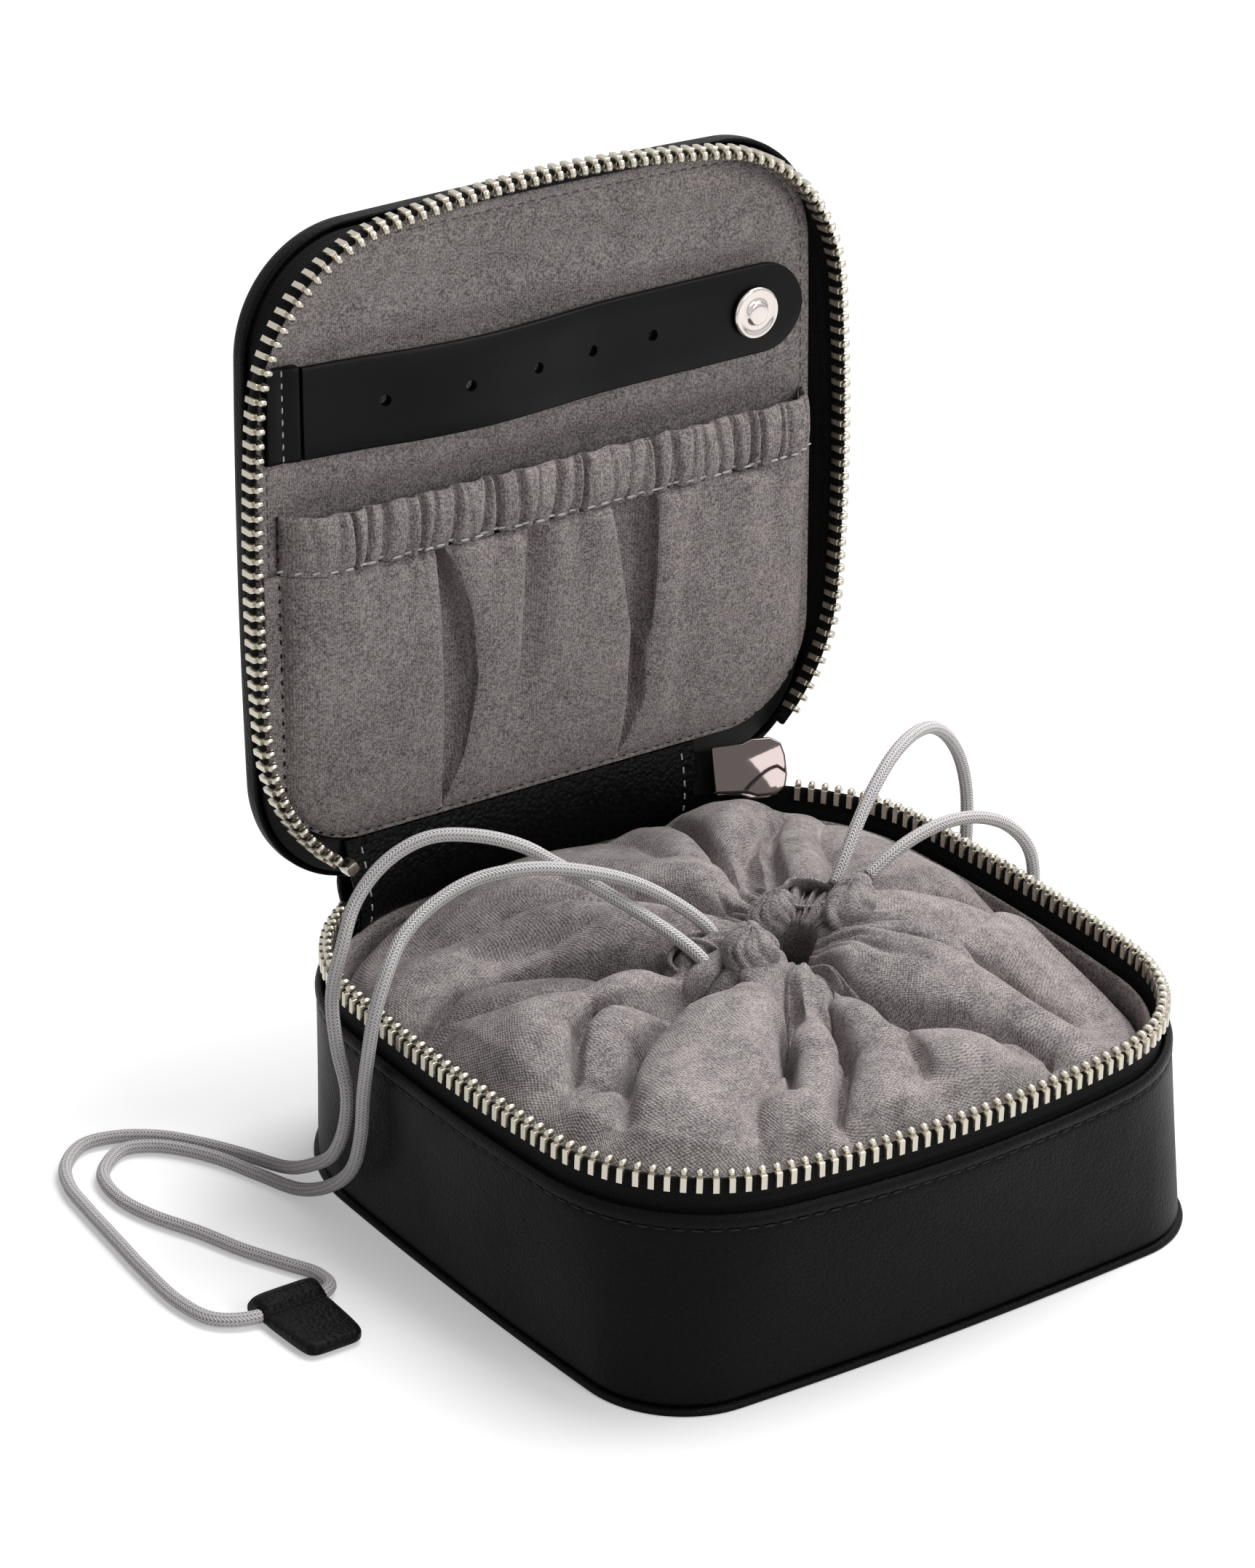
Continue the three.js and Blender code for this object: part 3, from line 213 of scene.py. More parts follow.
class Look:
    """A principled material with a short way to add and link nodes."""

    def __init__(self, name, colour, roughness, metallic=0.0, specular=0.5):
        self.material = bpy.data.materials.new(name)
        self.material.use_nodes = True
        self.material.diffuse_color = (*colour, 1)
        self.tree = self.material.node_tree
        self.shader = self.tree.nodes["Principled BSDF"]
        self.set("Base Color", (*colour, 1))
        self.set("Roughness", roughness)
        self.set("Metallic", metallic)
        self.set("Specular IOR Level", specular)

    def set(self, socket, value):
        self.shader.inputs[socket].default_value = value

    def sheen(self, weight, roughness=0.5, tint=(1, 1, 1)):
        self.set("Sheen Weight", weight)
        self.set("Sheen Roughness", roughness)
        self.set("Sheen Tint", (*tint, 1))

    def drive(self, socket, value):
        self.tree.links.new(value, self.shader.inputs[socket])

    def add(self, kind, inputs=None, **settings):
        node = self.tree.nodes.new(kind)
        for key, value in settings.items():
            setattr(node, key, value)
        for key, value in (inputs or {}).items():
            if isinstance(value, bpy.types.NodeSocket):
                self.tree.links.new(value, node.inputs[key])
            else:
                node.inputs[key].default_value = value
        return node

    def place(self, uv=False):
        return self.add("ShaderNodeTexCoord").outputs["UV" if uv else "Object"]

    def parts(self, uv=False):
        """The X, Y and Z of the place."""
        return self.add("ShaderNodeSeparateXYZ", {"Vector": self.place(uv)}).outputs

    def noise(self, scale, detail=2.0, roughness=0.5):
        inputs = {"Vector": self.place(), "Scale": scale, "Detail": detail, "Roughness": roughness}
        return self.add("ShaderNodeTexNoise", inputs).outputs["Fac"]

    def patches(self, scale, detail, spread, first=0.0, last=1.0, roughness=0.5):
        """Noise between two values, reached at a spread below and above its middle."""
        node = self.add("ShaderNodeMapRange", {
            "Value": self.noise(scale, detail, roughness), "From Min": 0.5 - spread,
            "From Max": 0.5 + spread, "To Min": first, "To Max": last,
        })
        return node.outputs["Result"]

    def maths(self, operation, *values):
        node = self.add("ShaderNodeMath", dict(enumerate(values)), operation=operation)
        return node.outputs[0]

    def times(self, first, second):
        return self.maths("MULTIPLY", first, second)

    def plus(self, first, second):
        return self.maths("ADD", first, second)

    def sum(self, *shares):
        """The sum of pairs of a value and its share."""
        total = self.times(*shares[0])
        for value, share in shares[1:]:
            total = self.plus(total, self.times(value, share))
        return total

    def wave(self, distance, period, shift=None):
        """A sine with one round in each period."""
        turn = self.times(distance, tau / period)
        return self.maths("SINE", turn if shift is None else self.plus(turn, shift))

    def tint(self, value, low, high, dark, light):
        node = self.add("ShaderNodeValToRGB", {"Fac": value})
        for element, place, colour in zip(node.color_ramp.elements, (low, high), (dark, light)):
            element.position = place
            element.color = (*colour, 1)
        return node.outputs["Color"]

    def bump(self, height, distance, strength=1.0, after=None):
        inputs = {"Height": height, "Distance": distance, "Strength": strength}
        if after is not None:
            inputs["Normal"] = after
        return self.add("ShaderNodeBump", inputs).outputs["Normal"]


# Braided polyester cord: strands that cross as chevrons round a core, in ribs along its length,
# a pale yarn with painted shade darkening its grooves, and a little fuzz
def braided_cord(chevrons=10.0, rise=0.75 * mm, strand_pitch=0.62 * mm):
    look = Look("braided_cord", (0.42, 0.395, 0.40), 0.6, specular=0.25)
    look.sheen(0.1, 0.4)
    run, turn, _ = look.parts(uv=True)
    inside = look.maths("PINGPONG", look.times(turn, chevrons), 1.0)
    strand = look.wave(look.plus(run, look.times(inside, rise)), strand_pitch)
    groove = look.maths("SINE", look.times(inside, math.pi))
    relief = look.sum((strand, 0.5), (groove, 0.7))
    fleck = look.times(look.noise(3200, 3), 0.5)
    # Painted shade: the colour follows the relief and is darker in the grooves between the strands
    look.drive("Base Color", look.tint(look.plus(relief, fleck), 0.0, 1.0,
                                       (0.28, 0.262, 0.266), (0.76, 0.73, 0.735)))
    look.drive("Normal", look.bump(relief, 0.13 * mm, 0.9))
    return look.material


cord_braid = braided_cord()


def finish(piece, body, slot, *nodes):
    """Sets a piece on its body and hides the CAD nodes it stands for. The slot is not used."""
    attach(piece, body)
    if nodes:
        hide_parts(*nodes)
    return piece


cord_radius = 1.2 * mm
left_back_route = [
    (-11.2, -6.4, 47.5), (-13, -3.6, 50.2), (-16.6, 2.6, 53.8), (-22.6, 8.7, 58.6),
    (-29.7, 13.2, 64), (-35.7, 15.8, 68.2), (-42.9, 19.7, 70.4), (-49.5, 23.3, 70.2),
    (-56, 25.6, 66.8), (-62, 26, 60.8), (-66, 24.4, 53.6), (-67.4, 25.3, 44), (-67.2, 23.9, 34.5),
    (-67, 21.2, 27.5), (-67, 21.8, 20.5), (-67, 25.5, 13), (-67, 32, 7.8), (-67.2, 40, 3.4),
    (-69.3, 50.7, 1.4), (-73.4, 57.9, 1.4), (-78.3, 64.2, 1.4), (-84.8, 68.4, 1.4),
    (-91.2, 69.2, 1.4), (-97.5, 64.5, 1.4), (-100.6, 57.7, 1.4), (-101.8, 49.8, 1.4),
    (-103, 38.2, 1.4), (-104.1, 27, 1.4), (-104.5, 14.8, 1.4), (-102.6, 7.2, 1.5),
    (-97.2, 3.6, 1.7),
]
left_front_route = [
    (-5.6, -2.4, 47.5), (-7.4, 0.2, 51.6), (-12.2, 3.6, 56.2), (-19.5, 6.6, 60.9),
    (-31.1, 9.8, 65), (-38.2, 12.2, 65.8), (-45.6, 15.2, 64.5), (-52.8, 16.3, 61.6),
    (-59.5, 15.6, 57.6), (-64.3, 13.5, 52.4), (-67, 12.8, 46), (-67.2, 14.6, 36.5),
    (-67, 16.1, 29), (-67, 16.8, 21), (-67, 19.3, 13.4), (-67.4, 25, 7.3), (-68.6, 33.5, 2.6),
    (-70.8, 43.4, 1.4), (-73.8, 52.1, 1.4), (-77.9, 58.9, 1.4), (-81.5, 62.3, 1.4),
    (-86, 63.9, 1.4), (-90.8, 61.4, 1.4), (-94.1, 57.4, 1.4), (-95.4, 49.8, 1.4),
    (-93.9, 42.1, 1.4), (-89.7, 32.1, 1.4), (-86.7, 23.5, 1.4), (-83.1, 15.9, 1.4),
    (-80.3, 9.4, 1.5), (-81.3, 4.6, 1.7),
]
right_back_route = [
    (21.1, 1, 51.4), (24.4, 2.2, 56), (28.5, 4.1, 60.6), (33.5, 6.3, 65), (40, 9.2, 68.5),
    (46.8, 12.1, 69.5), (53, 14.9, 67.9), (59, 17.5, 63.5), (64, 19.6, 57), (66.8, 20.6, 49.5),
    (67.6, 20.8, 41), (67.6, 21.6, 28), (67.6, 24.5, 14), (68.6, 30, 5.4), (70.6, 38, 1.9),
    (74, 50, 1.4), (78, 61, 1.4), (85, 67, 1.4), (92, 63, 1.4), (95.4, 52, 1.4), (95.4, 38, 1.4),
    (95.8, 26, 1.4), (97, 15, 1.5), (94, 8.6, 1.7),
]
right_front_route = [
    (30.9, 3.6, 49.1), (35.5, 3.5, 52), (42, 3.3, 54.5), (49, 3.1, 55.4), (56, 2.8, 54.2),
    (62.4, 2.4, 50.6), (66.6, 1.8, 45), (67.8, 1.4, 36), (67.6, 1.6, 22), (68.4, 3.6, 9),
    (70.8, 10, 2.2), (75, 20, 1.4), (79.4, 32, 1.4), (82, 44, 1.4), (86, 51, 1.4),
    (89.6, 46, 1.4), (88.6, 34, 1.4), (82.4, 24, 1.4), (76.6, 15, 1.5), (77.9, 8.6, 1.7),
]


# Pebbled calf leather of the outside: small rounded cells over a slow swell, with a painted
# highlight on the tops of the pebbles and painted shade in the crevices between them
def pebbled_leather(name, dark, light, cell, relief, gloss):
    look = Look(name, light, gloss, specular=0.07)
    inputs = {"Vector": look.place(), "Scale": 1 / cell, "Randomness": 0.9}
    cells = look.add("ShaderNodeTexVoronoi", inputs, feature="SMOOTH_F1")
    cells.inputs["Smoothness"].default_value = 0.35
    grain = look.plus(cells.outputs["Distance"], look.times(look.noise(2600, 3), 0.5))
    # Painted highlight and painted shade: the colour is lighter on the raised pebble tops and
    # darker in the sunk crevices
    look.drive("Base Color", look.tint(grain, 0.25, 1.0, light, dark))
    look.drive("Roughness", look.patches(60, 4, 0.2, gloss - 0.05, gloss + 0.07))
    swell = look.bump(look.noise(110, 2), 0.5 * mm, 0.25)
    look.drive("Normal", look.bump(grain, -relief, 0.8, swell))
    return look.material


tab_leather = pebbled_leather("tab_leather", (0.002, 0.002, 0.0025), (0.008, 0.008, 0.0085),
                              0.8 * mm, 0.2 * mm, 0.42)

# Leather tab at the end of each loop: a strip folded over the cord and sewn to itself, with a
# roll round the cord, a sunk seam and a flat, rounded end. Sizes in millimetres.
tab_width = 13.0
tab_length = 18.5
tab_taper = 0.12
tab_corner = 2.6
tab_flat = 1.45
tab_seam_at = 5.6
tab_lift = 0.06
tab_sides = 40
# Sections as (distance from the fold, half height)
tab_sections = [
    (0, 0.9), (0.25, 1.5), (0.8, 1.95), (1.5, 2.2), (2.6, 2.2), (3.6, 2.05), (4.6, 1.75),
    (5.2, 1.5), (tab_seam_at, 1.05), (6, 1.35), (6.6, tab_flat), (10, tab_flat), (14, 1.4),
    (tab_length - 1.6, 1.38), (tab_length - 0.7, 1.2), (tab_length - 0.2, 0.8), (tab_length, 0.35),
]


def squared(way, power):
    """A circle's coordinate, filled out towards a square."""
    return np.sign(way) * np.abs(way) ** power


def folded_tab(name, corner, node):
    """A tab on the floor whose fold is at corner and whose flat end points to the front."""
    wide, high = squared(np.cos(turns(tab_sides)), 0.32), squared(np.sin(turns(tab_sides)), 0.6)
    rows = []
    for distance, half_height in tab_sections:
        past = max(0.0, distance - (tab_length - tab_corner)) / tab_corner
        half = tab_width / 2 * (1 - tab_taper * distance / tab_length)
        half -= tab_corner * (1 - math.sqrt(max(0.0, 1 - past ** 2)))
        middle = tab_lift + (max(half_height, tab_flat) if distance < tab_seam_at else tab_flat)
        rows.append(np.stack([half * wide, np.full(tab_sides, -distance),
                              half_height * high + middle], axis=1))
    tab = grid_mesh(name, (np.array(rows) + [*corner, 0]) * mm, caps=True, material=tab_leather)
    rounding = tab.modifiers.new("rounding", "SUBSURF")
    rounding.levels = rounding.render_levels = 2
    return finish(tab, "base", "leather", node)


tabs = {
    "left": folded_tab("left_tab", (-89.6, 7.2), "cord_left_tab"),
    "right": folded_tab("right_tab", (86, 12.4), "cord_right_tab"),
}
for side, back, front in (("left", left_back_route, left_front_route),
                          ("right", right_back_route, right_front_route)):
    path = smooth_path(np.array(back + front[::-1]) * mm, 0.6 * mm)
    loop = tube(side + "_drawstring", path, cord_radius, 20, cord_braid)
    finish(loop, "base", "cord", f"cord_{side}_back", f"cord_{side}_front")
    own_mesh(loop)


# Stitches, for every seam of the case: waxed polyester thread, each stitch a short bead with its
# ends in the cloth, set at even places along the seam by Geometry Nodes
def thread(name, colour):
    look = Look(name, colour, 0.55, specular=0.2)
    twist = look.add("ShaderNodeTexWave", {"Vector": look.place(), "Scale": 700.0},
                     bands_direction="DIAGONAL")
    look.drive("Normal", look.bump(twist.outputs["Fac"], 0.05 * mm, 0.6))
    return look.material


black_thread = thread("black_thread", (0.004, 0.004, 0.004))
grey_thread = thread("grey_thread", (0.13, 0.115, 0.115))
pale_thread = thread("pale_thread", (0.52, 0.50, 0.49))


def copies_group():
    """Copies of an object along a line, each turned with the line and a little at random."""
    group = bpy.data.node_groups.new("copies_along_line", "GeometryNodeTree")
    for name, kind in (("Line", "Geometry"), ("Copy", "Object"), ("Count", "Int"),
                       ("Twist", "Float"), ("Seed", "Int"), ("Finish", "Material")):
        group.interface.new_socket(name, in_out="INPUT", socket_type="NodeSocket" + kind)
    group.interface.new_socket("Result", in_out="OUTPUT", socket_type="NodeSocketGeometry")
    nodes = {name: group.nodes.new(kind) for name, kind in (
        ("given", "NodeGroupInput"), ("curve", "GeometryNodeMeshToCurve"),
        ("even", "GeometryNodeResampleCurve"), ("along", "GeometryNodeInputTangent"),
        ("align", "FunctionNodeAlignEulerToVector"), ("lowest", "ShaderNodeMath"),
        ("jitter", "FunctionNodeRandomValue"), ("turn", "FunctionNodeRotateEuler"),
        ("source", "GeometryNodeObjectInfo"), ("place", "GeometryNodeInstanceOnPoints"),
        ("real", "GeometryNodeRealizeInstances"), ("paint", "GeometryNodeSetMaterial"),
        ("result", "NodeGroupOutput"),
    )}
    nodes["align"].axis = "X"
    nodes["align"].pivot_axis = "Z"
    nodes["lowest"].operation = "MULTIPLY"
    nodes["lowest"].inputs[1].default_value = -1.0
    nodes["jitter"].data_type = "FLOAT_VECTOR"
    nodes["turn"].space = "LOCAL"
    for link in (
        "given.Line > curve.Mesh", "curve.Curve > even.Curve", "given.Count > even.Count",
        "along.Tangent > align.Vector", "given.Twist > jitter.Max", "given.Twist > lowest.Value",
        "lowest.Value > jitter.Min", "given.Seed > jitter.Seed", "align.Rotation > turn.Rotation",
        "jitter.Value > turn.Rotate By", "given.Copy > source.Object",
        "even.Curve > place.Points", "source.Geometry > place.Instance",
        "turn.Rotation > place.Rotation", "place.Instances > real.Geometry",
        "real.Geometry > paint.Geometry", "given.Finish > paint.Material",
        "paint.Geometry > result.Result",
    ):
        (giver, out), (taker, into) = (end.split(".") for end in link.split(" > "))
        group.links.new(nodes[giver].outputs[out], nodes[taker].inputs[into])
    return group


along_line = copies_group()


def applied(piece):
    """The piece with its modifiers turned into its mesh."""
    graph = bpy.context.evaluated_depsgraph_get()
    mesh = bpy.data.meshes.new_from_object(piece.evaluated_get(graph))
    piece.modifiers.clear()
    piece.data = mesh
    return piece


def copies_along(name, line, copy, count, material, twist=0.0, seed=1):
    """A copy at each of count even places on the line, its X along it and its Z up."""
    guide = bpy.data.meshes.new(name)
    guide.from_pydata([tuple(p) for p in line], [(i, i + 1) for i in range(len(line) - 1)], [])
    piece = new_object(name, guide)
    nodes = piece.modifiers.new("copies", "NODES")
    nodes.node_group = along_line
    values = {"Copy": copy, "Count": count, "Twist": twist, "Seed": seed, "Finish": material}
    for item in along_line.interface.items_tree:
        if item.in_out == "INPUT" and item.name in values:
            nodes[item.identifier] = values[item.name]
    applied(piece)
    bpy.data.objects.remove(copy)
    return piece


def stitches(name, line, pitch, share, radius, material, body, slot):
    """A run of stitches along the line: threads of the given share of the pitch."""
    work = bmesh.new()
    bmesh.ops.create_uvsphere(work, u_segments=8, v_segments=6, radius=1.0)
    bmesh.ops.scale(work, vec=(pitch * share / 2, radius, radius), verts=work.verts)
    mesh = bpy.data.meshes.new("stitch")
    work.to_mesh(mesh)
    work.free()
    mesh.shade_smooth()
    count = int(lengths(np.asarray(line))[-1] / pitch) + 1
    piece = copies_along(name, line, new_object("stitch", mesh), count, material, 0.05, seed=3)
    return finish(piece, body, slot)


# Base wall: the same leather turned over a stiff rim, bulging slightly where it is stretched over
# its board, with a sewn groove below the rolled edge
outer_leather = pebbled_leather("outer_leather", (0.0015, 0.0015, 0.0017),
                                (0.0042, 0.0042, 0.0045), 0.62 * mm, 0.1 * mm, 0.45)


def quadrant(half_x, half_y, bow_x, bow_y, radius):
    """A quarter of an outline: a bowed side, a round corner and a bowed end."""
    side = np.array([half_x - bow_x, 0.0])
    end = np.array([0.0, half_y - bow_y])
    apart = np.linalg.norm(end - side)
    direction = (end - side) / apart
    along = ((bow_x - radius) ** 2 - (bow_y - radius) ** 2 + apart ** 2) / (2 * apart)
    across = math.sqrt((bow_x - radius) ** 2 - along ** 2)
    middle = side + direction * along
    normal = np.array([-direction[1], direction[0]]) * across
    centre = middle + normal if min(middle + normal) > 0 else middle - normal
    start = math.atan2(*(centre - side)[::-1])
    stop = math.atan2(*(centre - end)[::-1])
    points = []
    for about, size, first, last in (
        (side, bow_x, 0, start), (centre, radius, start, stop), (end, bow_y, stop, math.pi / 2)
    ):
        angle = np.linspace(first, last, 60, endpoint=False)
        points.append(about + size * np.stack([np.cos(angle), np.sin(angle)], axis=1))
    return np.concatenate(points + [np.array([[0.0, half_y]])])


def outline(line, grow=0.0, count=480):
    """A rounded square with bowed sides, anticlockwise from the middle of its right side."""
    sizes = [line[key] + grow for key in ("half_x", "half_y", "bow_x", "bow_y")]
    back, front = (quadrant(*sizes, line[key] + grow) for key in ("back", "front"))
    round_line = np.concatenate([back[:-1], (back * [-1, 1])[::-1][:-1],
                                 (front * [-1, -1])[:-1], (front * [1, -1])[::-1][:-1]])
    return resampled(round_line, count, ring=True) + [0, line.get("centre_y", 0.0)]


def at_height(points, z):
    """The plane points lifted to z."""
    height = np.broadcast_to(np.asarray(z, float), len(points))
    return np.concatenate([points, height[:, None]], axis=1)


def in_mm(**sizes):
    return {name: size * mm for name, size in sizes.items()}


# The case's outlines, as seen from above when it is shut
chain_line = in_mm(half_x=63, half_y=63, bow_x=400, bow_y=223, front=31.6, back=36.5)
foot_line = in_mm(half_x=62.2, half_y=62.2, bow_x=900, bow_y=900, front=18, back=33)
lid_line = in_mm(half_x=61, half_y=61, bow_x=1500, bow_y=1500, front=22, back=22)
rim_overhang = 1.75 * mm
rim_line = {key: value + rim_overhang for key, value in chain_line.items()}
rim_height = 35.7 * mm
mesh_height = 42.8 * mm
hinge = np.array([0, 57.6 * mm, 48 * mm])
open_angle = math.radians(92.6)
half_open = open_angle / 2


def wall_ring(grow, z, count=480):
    """A ring on the base's wall, which leans from the foot line to the rim line."""
    share = min(1.0, z / rim_height)
    return at_height(outline(foot_line, grow, count) * (1 - share)
                     + outline(rim_line, grow, count) * share, z)


def wall_rings(profile, count, inset=0.0):
    """Rings on the wall for a profile of (grow, z) in millimetres."""
    return [wall_ring(grow * mm - inset, z * mm, count) for grow, z in profile]


def rings(line, profile, count):
    """Rings on one outline for a profile of (grow, z) in millimetres."""
    return [at_height(outline(line, grow * mm, count), z * mm) for grow, z in profile]


def shrunk(ring, shares, middle=0.0, rise=0.0):
    """The ring drawn in towards its middle, a little higher with each step."""
    return [(ring - middle) * [share, share, 1] + middle + [0, 0, (1 - share) * rise]
            for share in shares]


wall_profile = [
    (-0.35, 1.5), (-0.1, 1.7), (0, 2.2), (0.05, 4), (0.05, 8), (0.02, 14), (0, 20), (0, 26),
    (0, 30), (0, 31.6), (-0.04, 32.2), (-0.14, 32.6), (-0.34, 32.9), (-0.14, 33.2), (0.08, 33.5),
    (0.2, 34), (0.24, 34.5), (0.14, 35), (-0.08, 35.4), (-0.42, 35.66), (-0.8, 35.72),
    (-1.15, 35.55), (-1.4, 35.2), (-1.5, 34.6), (-1.5, 30), (-1.5, 16), (-1.5, 1.5),
]
wall_count = 640
wall_grid = np.array(wall_rings(wall_profile, wall_count))
wall_swell = 0.09 * mm * np.sin(7 * turns(wall_count)) * np.sin(3 * turns(wall_count) + 1)
outwards = wall_grid[..., :2] / np.linalg.norm(wall_grid[..., :2], axis=2)[..., None]
wall_grid[..., :2] += outwards * wall_swell[None, :, None]
base_wall = grid_mesh("base_wall", wall_grid, round_rows=True, material=outer_leather)
finish(base_wall, "base", "leather", "base_shell")
rim_seam = closed(wall_ring(-0.16 * mm, 32.9 * mm, 900))
stitches("rim_seam", rim_seam, 3.0 * mm, 0.82, 0.22 * mm, black_thread, "base", "leather")

# Sole: a leather plate glued under the base, its cut edge rounded and a little proud of the wall
sole_profile = [(-2, 0), (0.4, 0), (0.72, 0.18), (0.8, 0.5), (0.74, 0.9), (0.4, 1.16), (-2, 1.2)]
sole = grid_mesh("base_sole_plate", np.array(wall_rings(sole_profile, 320)), caps=True,
                 material=outer_leather)
finish(sole, "base", "leather", "base_sole")


# Brushed microfibre suede of the linings: a short nap, mottled where it lies one way or another,
# over the faint twill of its backing
def brushed_suede(name, dark, light, fleck, twill_pitch=0.8 * mm):
    look = Look(name, light, 0.95, specular=0.08)
    look.sheen(0.12, 0.45, (0.75, 0.72, 0.72))
    lie = look.patches(70, 5, 0.18, roughness=0.7)
    clump = look.patches(700, 3, 0.14)
    fibre = look.patches(0.9 / fleck, 3, 0.12, roughness=0.6)
    x, y, z = look.parts()
    depth = look.plus(y, z)
    twill = look.times(*(look.wave(look.maths(way, x, depth), twill_pitch)
                         for way in ("ADD", "SUBTRACT")))
    backing = look.plus(look.times(twill, 0.5), 0.5)
    mix = look.sum((lie, 0.16), (clump, 0.14), (fibre, 0.5), (backing, 0.2))
    look.drive("Base Color", look.tint(mix, 0.12, 0.84, dark, light))
    tufts = look.bump(look.plus(clump, backing), 0.14 * mm, 0.5)
    look.drive("Normal", look.bump(fibre, 0.12 * mm, 0.6, tufts))
    return look.material


lining_suede = brushed_suede("lining_suede", (0.095, 0.082, 0.081), (0.47, 0.415, 0.41),
                             0.36 * mm)

# Base lining: a suede tray glued to the boards, whose turned and sewn edge stands just above the
# leather rim
lining_inset = 3.4 * mm
lining_profile = [
    (0, 3.7), (0, 20), (0, 35.8), (-0.15, 36.3), (-0.5, 36.55), (-0.85, 36.3), (-1.0, 35.8),
    (-1.02, 34.6), (-1.12, 34.2), (-1.02, 33.8), (-1.0, 28), (-1.0, 18), (-1.05, 8), (-1.6, 5.6),
    (-3, 4.9), (-8, 4.75),
]
lining_grid = wall_rings(lining_profile, 480, lining_inset)
lining_grid += shrunk(lining_grid[-1], (0.75, 0.5, 0.25, 0.05))
lining = grid_mesh("base_lining_tray", np.array(lining_grid), caps=True, material=lining_suede)
finish(lining, "base", "suede", "base_lining")
lining_seam = closed(wall_ring(-1.02 * mm - lining_inset, 34.2 * mm, 900))
stitches("lining_seam", lining_seam, 2.2 * mm, 0.62, 0.16 * mm, grey_thread, "base", "suede")


# Zipper tapes: woven bands sewn inside the rim and under the lid's lining, each ending in the
# corded edge that the teeth grip.
def woven_tape(twill_pitch=0.55 * mm, weft_pitch=0.45 * mm, band=0.9 * mm):
    look = Look("woven_tape", (0.004, 0.004, 0.004), 0.75, specular=0.08)
    look.sheen(0.03)
    u, v, _ = look.parts(uv=True)
    yarn = look.wave(look.plus(u, look.maths("PINGPONG", v, band)), twill_pitch)
    weave = look.sum((yarn, 0.6), (look.wave(v, weft_pitch), 0.4))
    look.drive("Base Color", look.tint(weave, -0.2, 0.9, (0.001,) * 3, (0.0075,) * 3))
    look.drive("Normal", look.bump(weave, 0.12 * mm, 0.9))
    return look.material


black_tape = woven_tape()
left_chain_end = -44 * mm
right_chain_end = 51 * mm
base_tape_right_end = 34.5 * mm
lid_tape_right_end = 50.2 * mm
corded_edge = [(0.3, 39.4), (0.46, 40.2), (0.52, 40.9), (0.4, 41.5), (0, 41.8)]
corded_edge += [(-out, z) for out, z in corded_edge[-2::-1]]


def back_run(points, left, right):
    """The open run of a ring from x = left on the back side round the front to x = right."""
    behind = np.where(points[:, 1] > 0)[0]
    start, end = (min(behind, key=lambda i: abs(points[i, 0] - x)) for x in (left, right))
    return np.roll(points, -start, axis=0)[:(end - start) % len(points) + 1]


def tape_band(name, bands, right_end):
    columns = [resampled(back_run(ring, left_chain_end, right_end), 700) for ring in bands]
    return grid_mesh(name, np.array(columns), round_columns=False, round_rows=True, ends=True,
                     material=black_tape)


base_tape = tape_band("base_tape", [
    *wall_rings([(-1.8, 30.4), (-1.8, 35.0)], 2400), *rings(chain_line, corded_edge, 2400),
    *wall_rings([(-2.4, 35.0), (-2.4, 30.4)], 2400),
], base_tape_right_end)
finish(base_tape, "base", "tape", "base_zipper_tape")


def opened(points, angle=open_angle):
    """Points of the shut lid, swung open about the hinge."""
    y, z = np.moveaxis(np.asarray(points, float)[..., 1:] - hinge[1:], -1, 0)
    swung = np.array(points, float)
    swung[..., 1] = y * math.cos(angle) + z * math.sin(angle) + hinge[1]
    swung[..., 2] = z * math.cos(angle) - y * math.sin(angle) + hinge[2]
    return swung


def swing(piece, angle=open_angle):
    """Opens a piece that was built in the shut lid's place."""
    points = np.zeros(len(piece.data.vertices) * 3)
    piece.data.vertices.foreach_get("co", points)
    piece.data.vertices.foreach_set("co", opened(points.reshape(-1, 3), angle).ravel())
    piece.data.update()
    return piece


mirrored_edge = [(grow, 2 * mesh_height / mm - z) for grow, z in corded_edge]
lid_tape = tape_band("lid_tape", [
    *rings(lid_line, [(-1.35, 49.9), (-1.35, 49.0)], 2400),
    *rings(chain_line, mirrored_edge, 2400),
    *rings(lid_line, [(-1.95, 49.0), (-1.95, 49.9)], 2400),
], lid_tape_right_end)
finish(swing(lid_tape), "lid", "tape", "lid_zipper_tape")


# Zipper chains: number 5 metal teeth, each a flat clamped leg with a round ball on top, a tooth
# every 2.56 mm, and the lid's half a pitch on so that the two rows mesh. The metal is a warm
# polished nickel, with the faint unevenness of plated and tumbled parts.
def polished_nickel(name, colour, roughness, unevenness):
    look = Look(name, colour, roughness, metallic=1.0)
    look.drive("Roughness", look.patches(400, 3, 0.2, roughness * 0.7, roughness * 1.4))
    look.drive("Normal", look.bump(look.noise(700, 2), unevenness, 0.3))
    return look.material


tooth_nickel = polished_nickel("tooth_nickel", (0.50, 0.465, 0.395), 0.24, 0.05 * mm)


def joined(name, pieces):
    """One object from several, with their materials kept."""
    work = bmesh.new()
    materials = []
    for piece in pieces:
        for material in piece.data.materials:
            if material not in materials:
                materials.append(material)
    mesh = bpy.data.meshes.new(name)
    for piece in pieces:
        slots = [materials.index(material) for material in piece.data.materials]
        before = len(work.faces)
        work.from_mesh(piece.data)
        work.faces.ensure_lookup_table()
        for face in work.faces[before:]:
            face.material_index = slots[face.material_index] if slots else 0
    work.to_mesh(mesh)
    work.free()
    for material in materials:
        mesh.materials.append(material)
    for piece in pieces:
        bpy.data.objects.remove(piece)
    return new_object(name, mesh)


tooth_pitch = 2.56 * mm
stop_length = 2.4 * mm
stop_gap = 0.3 * mm
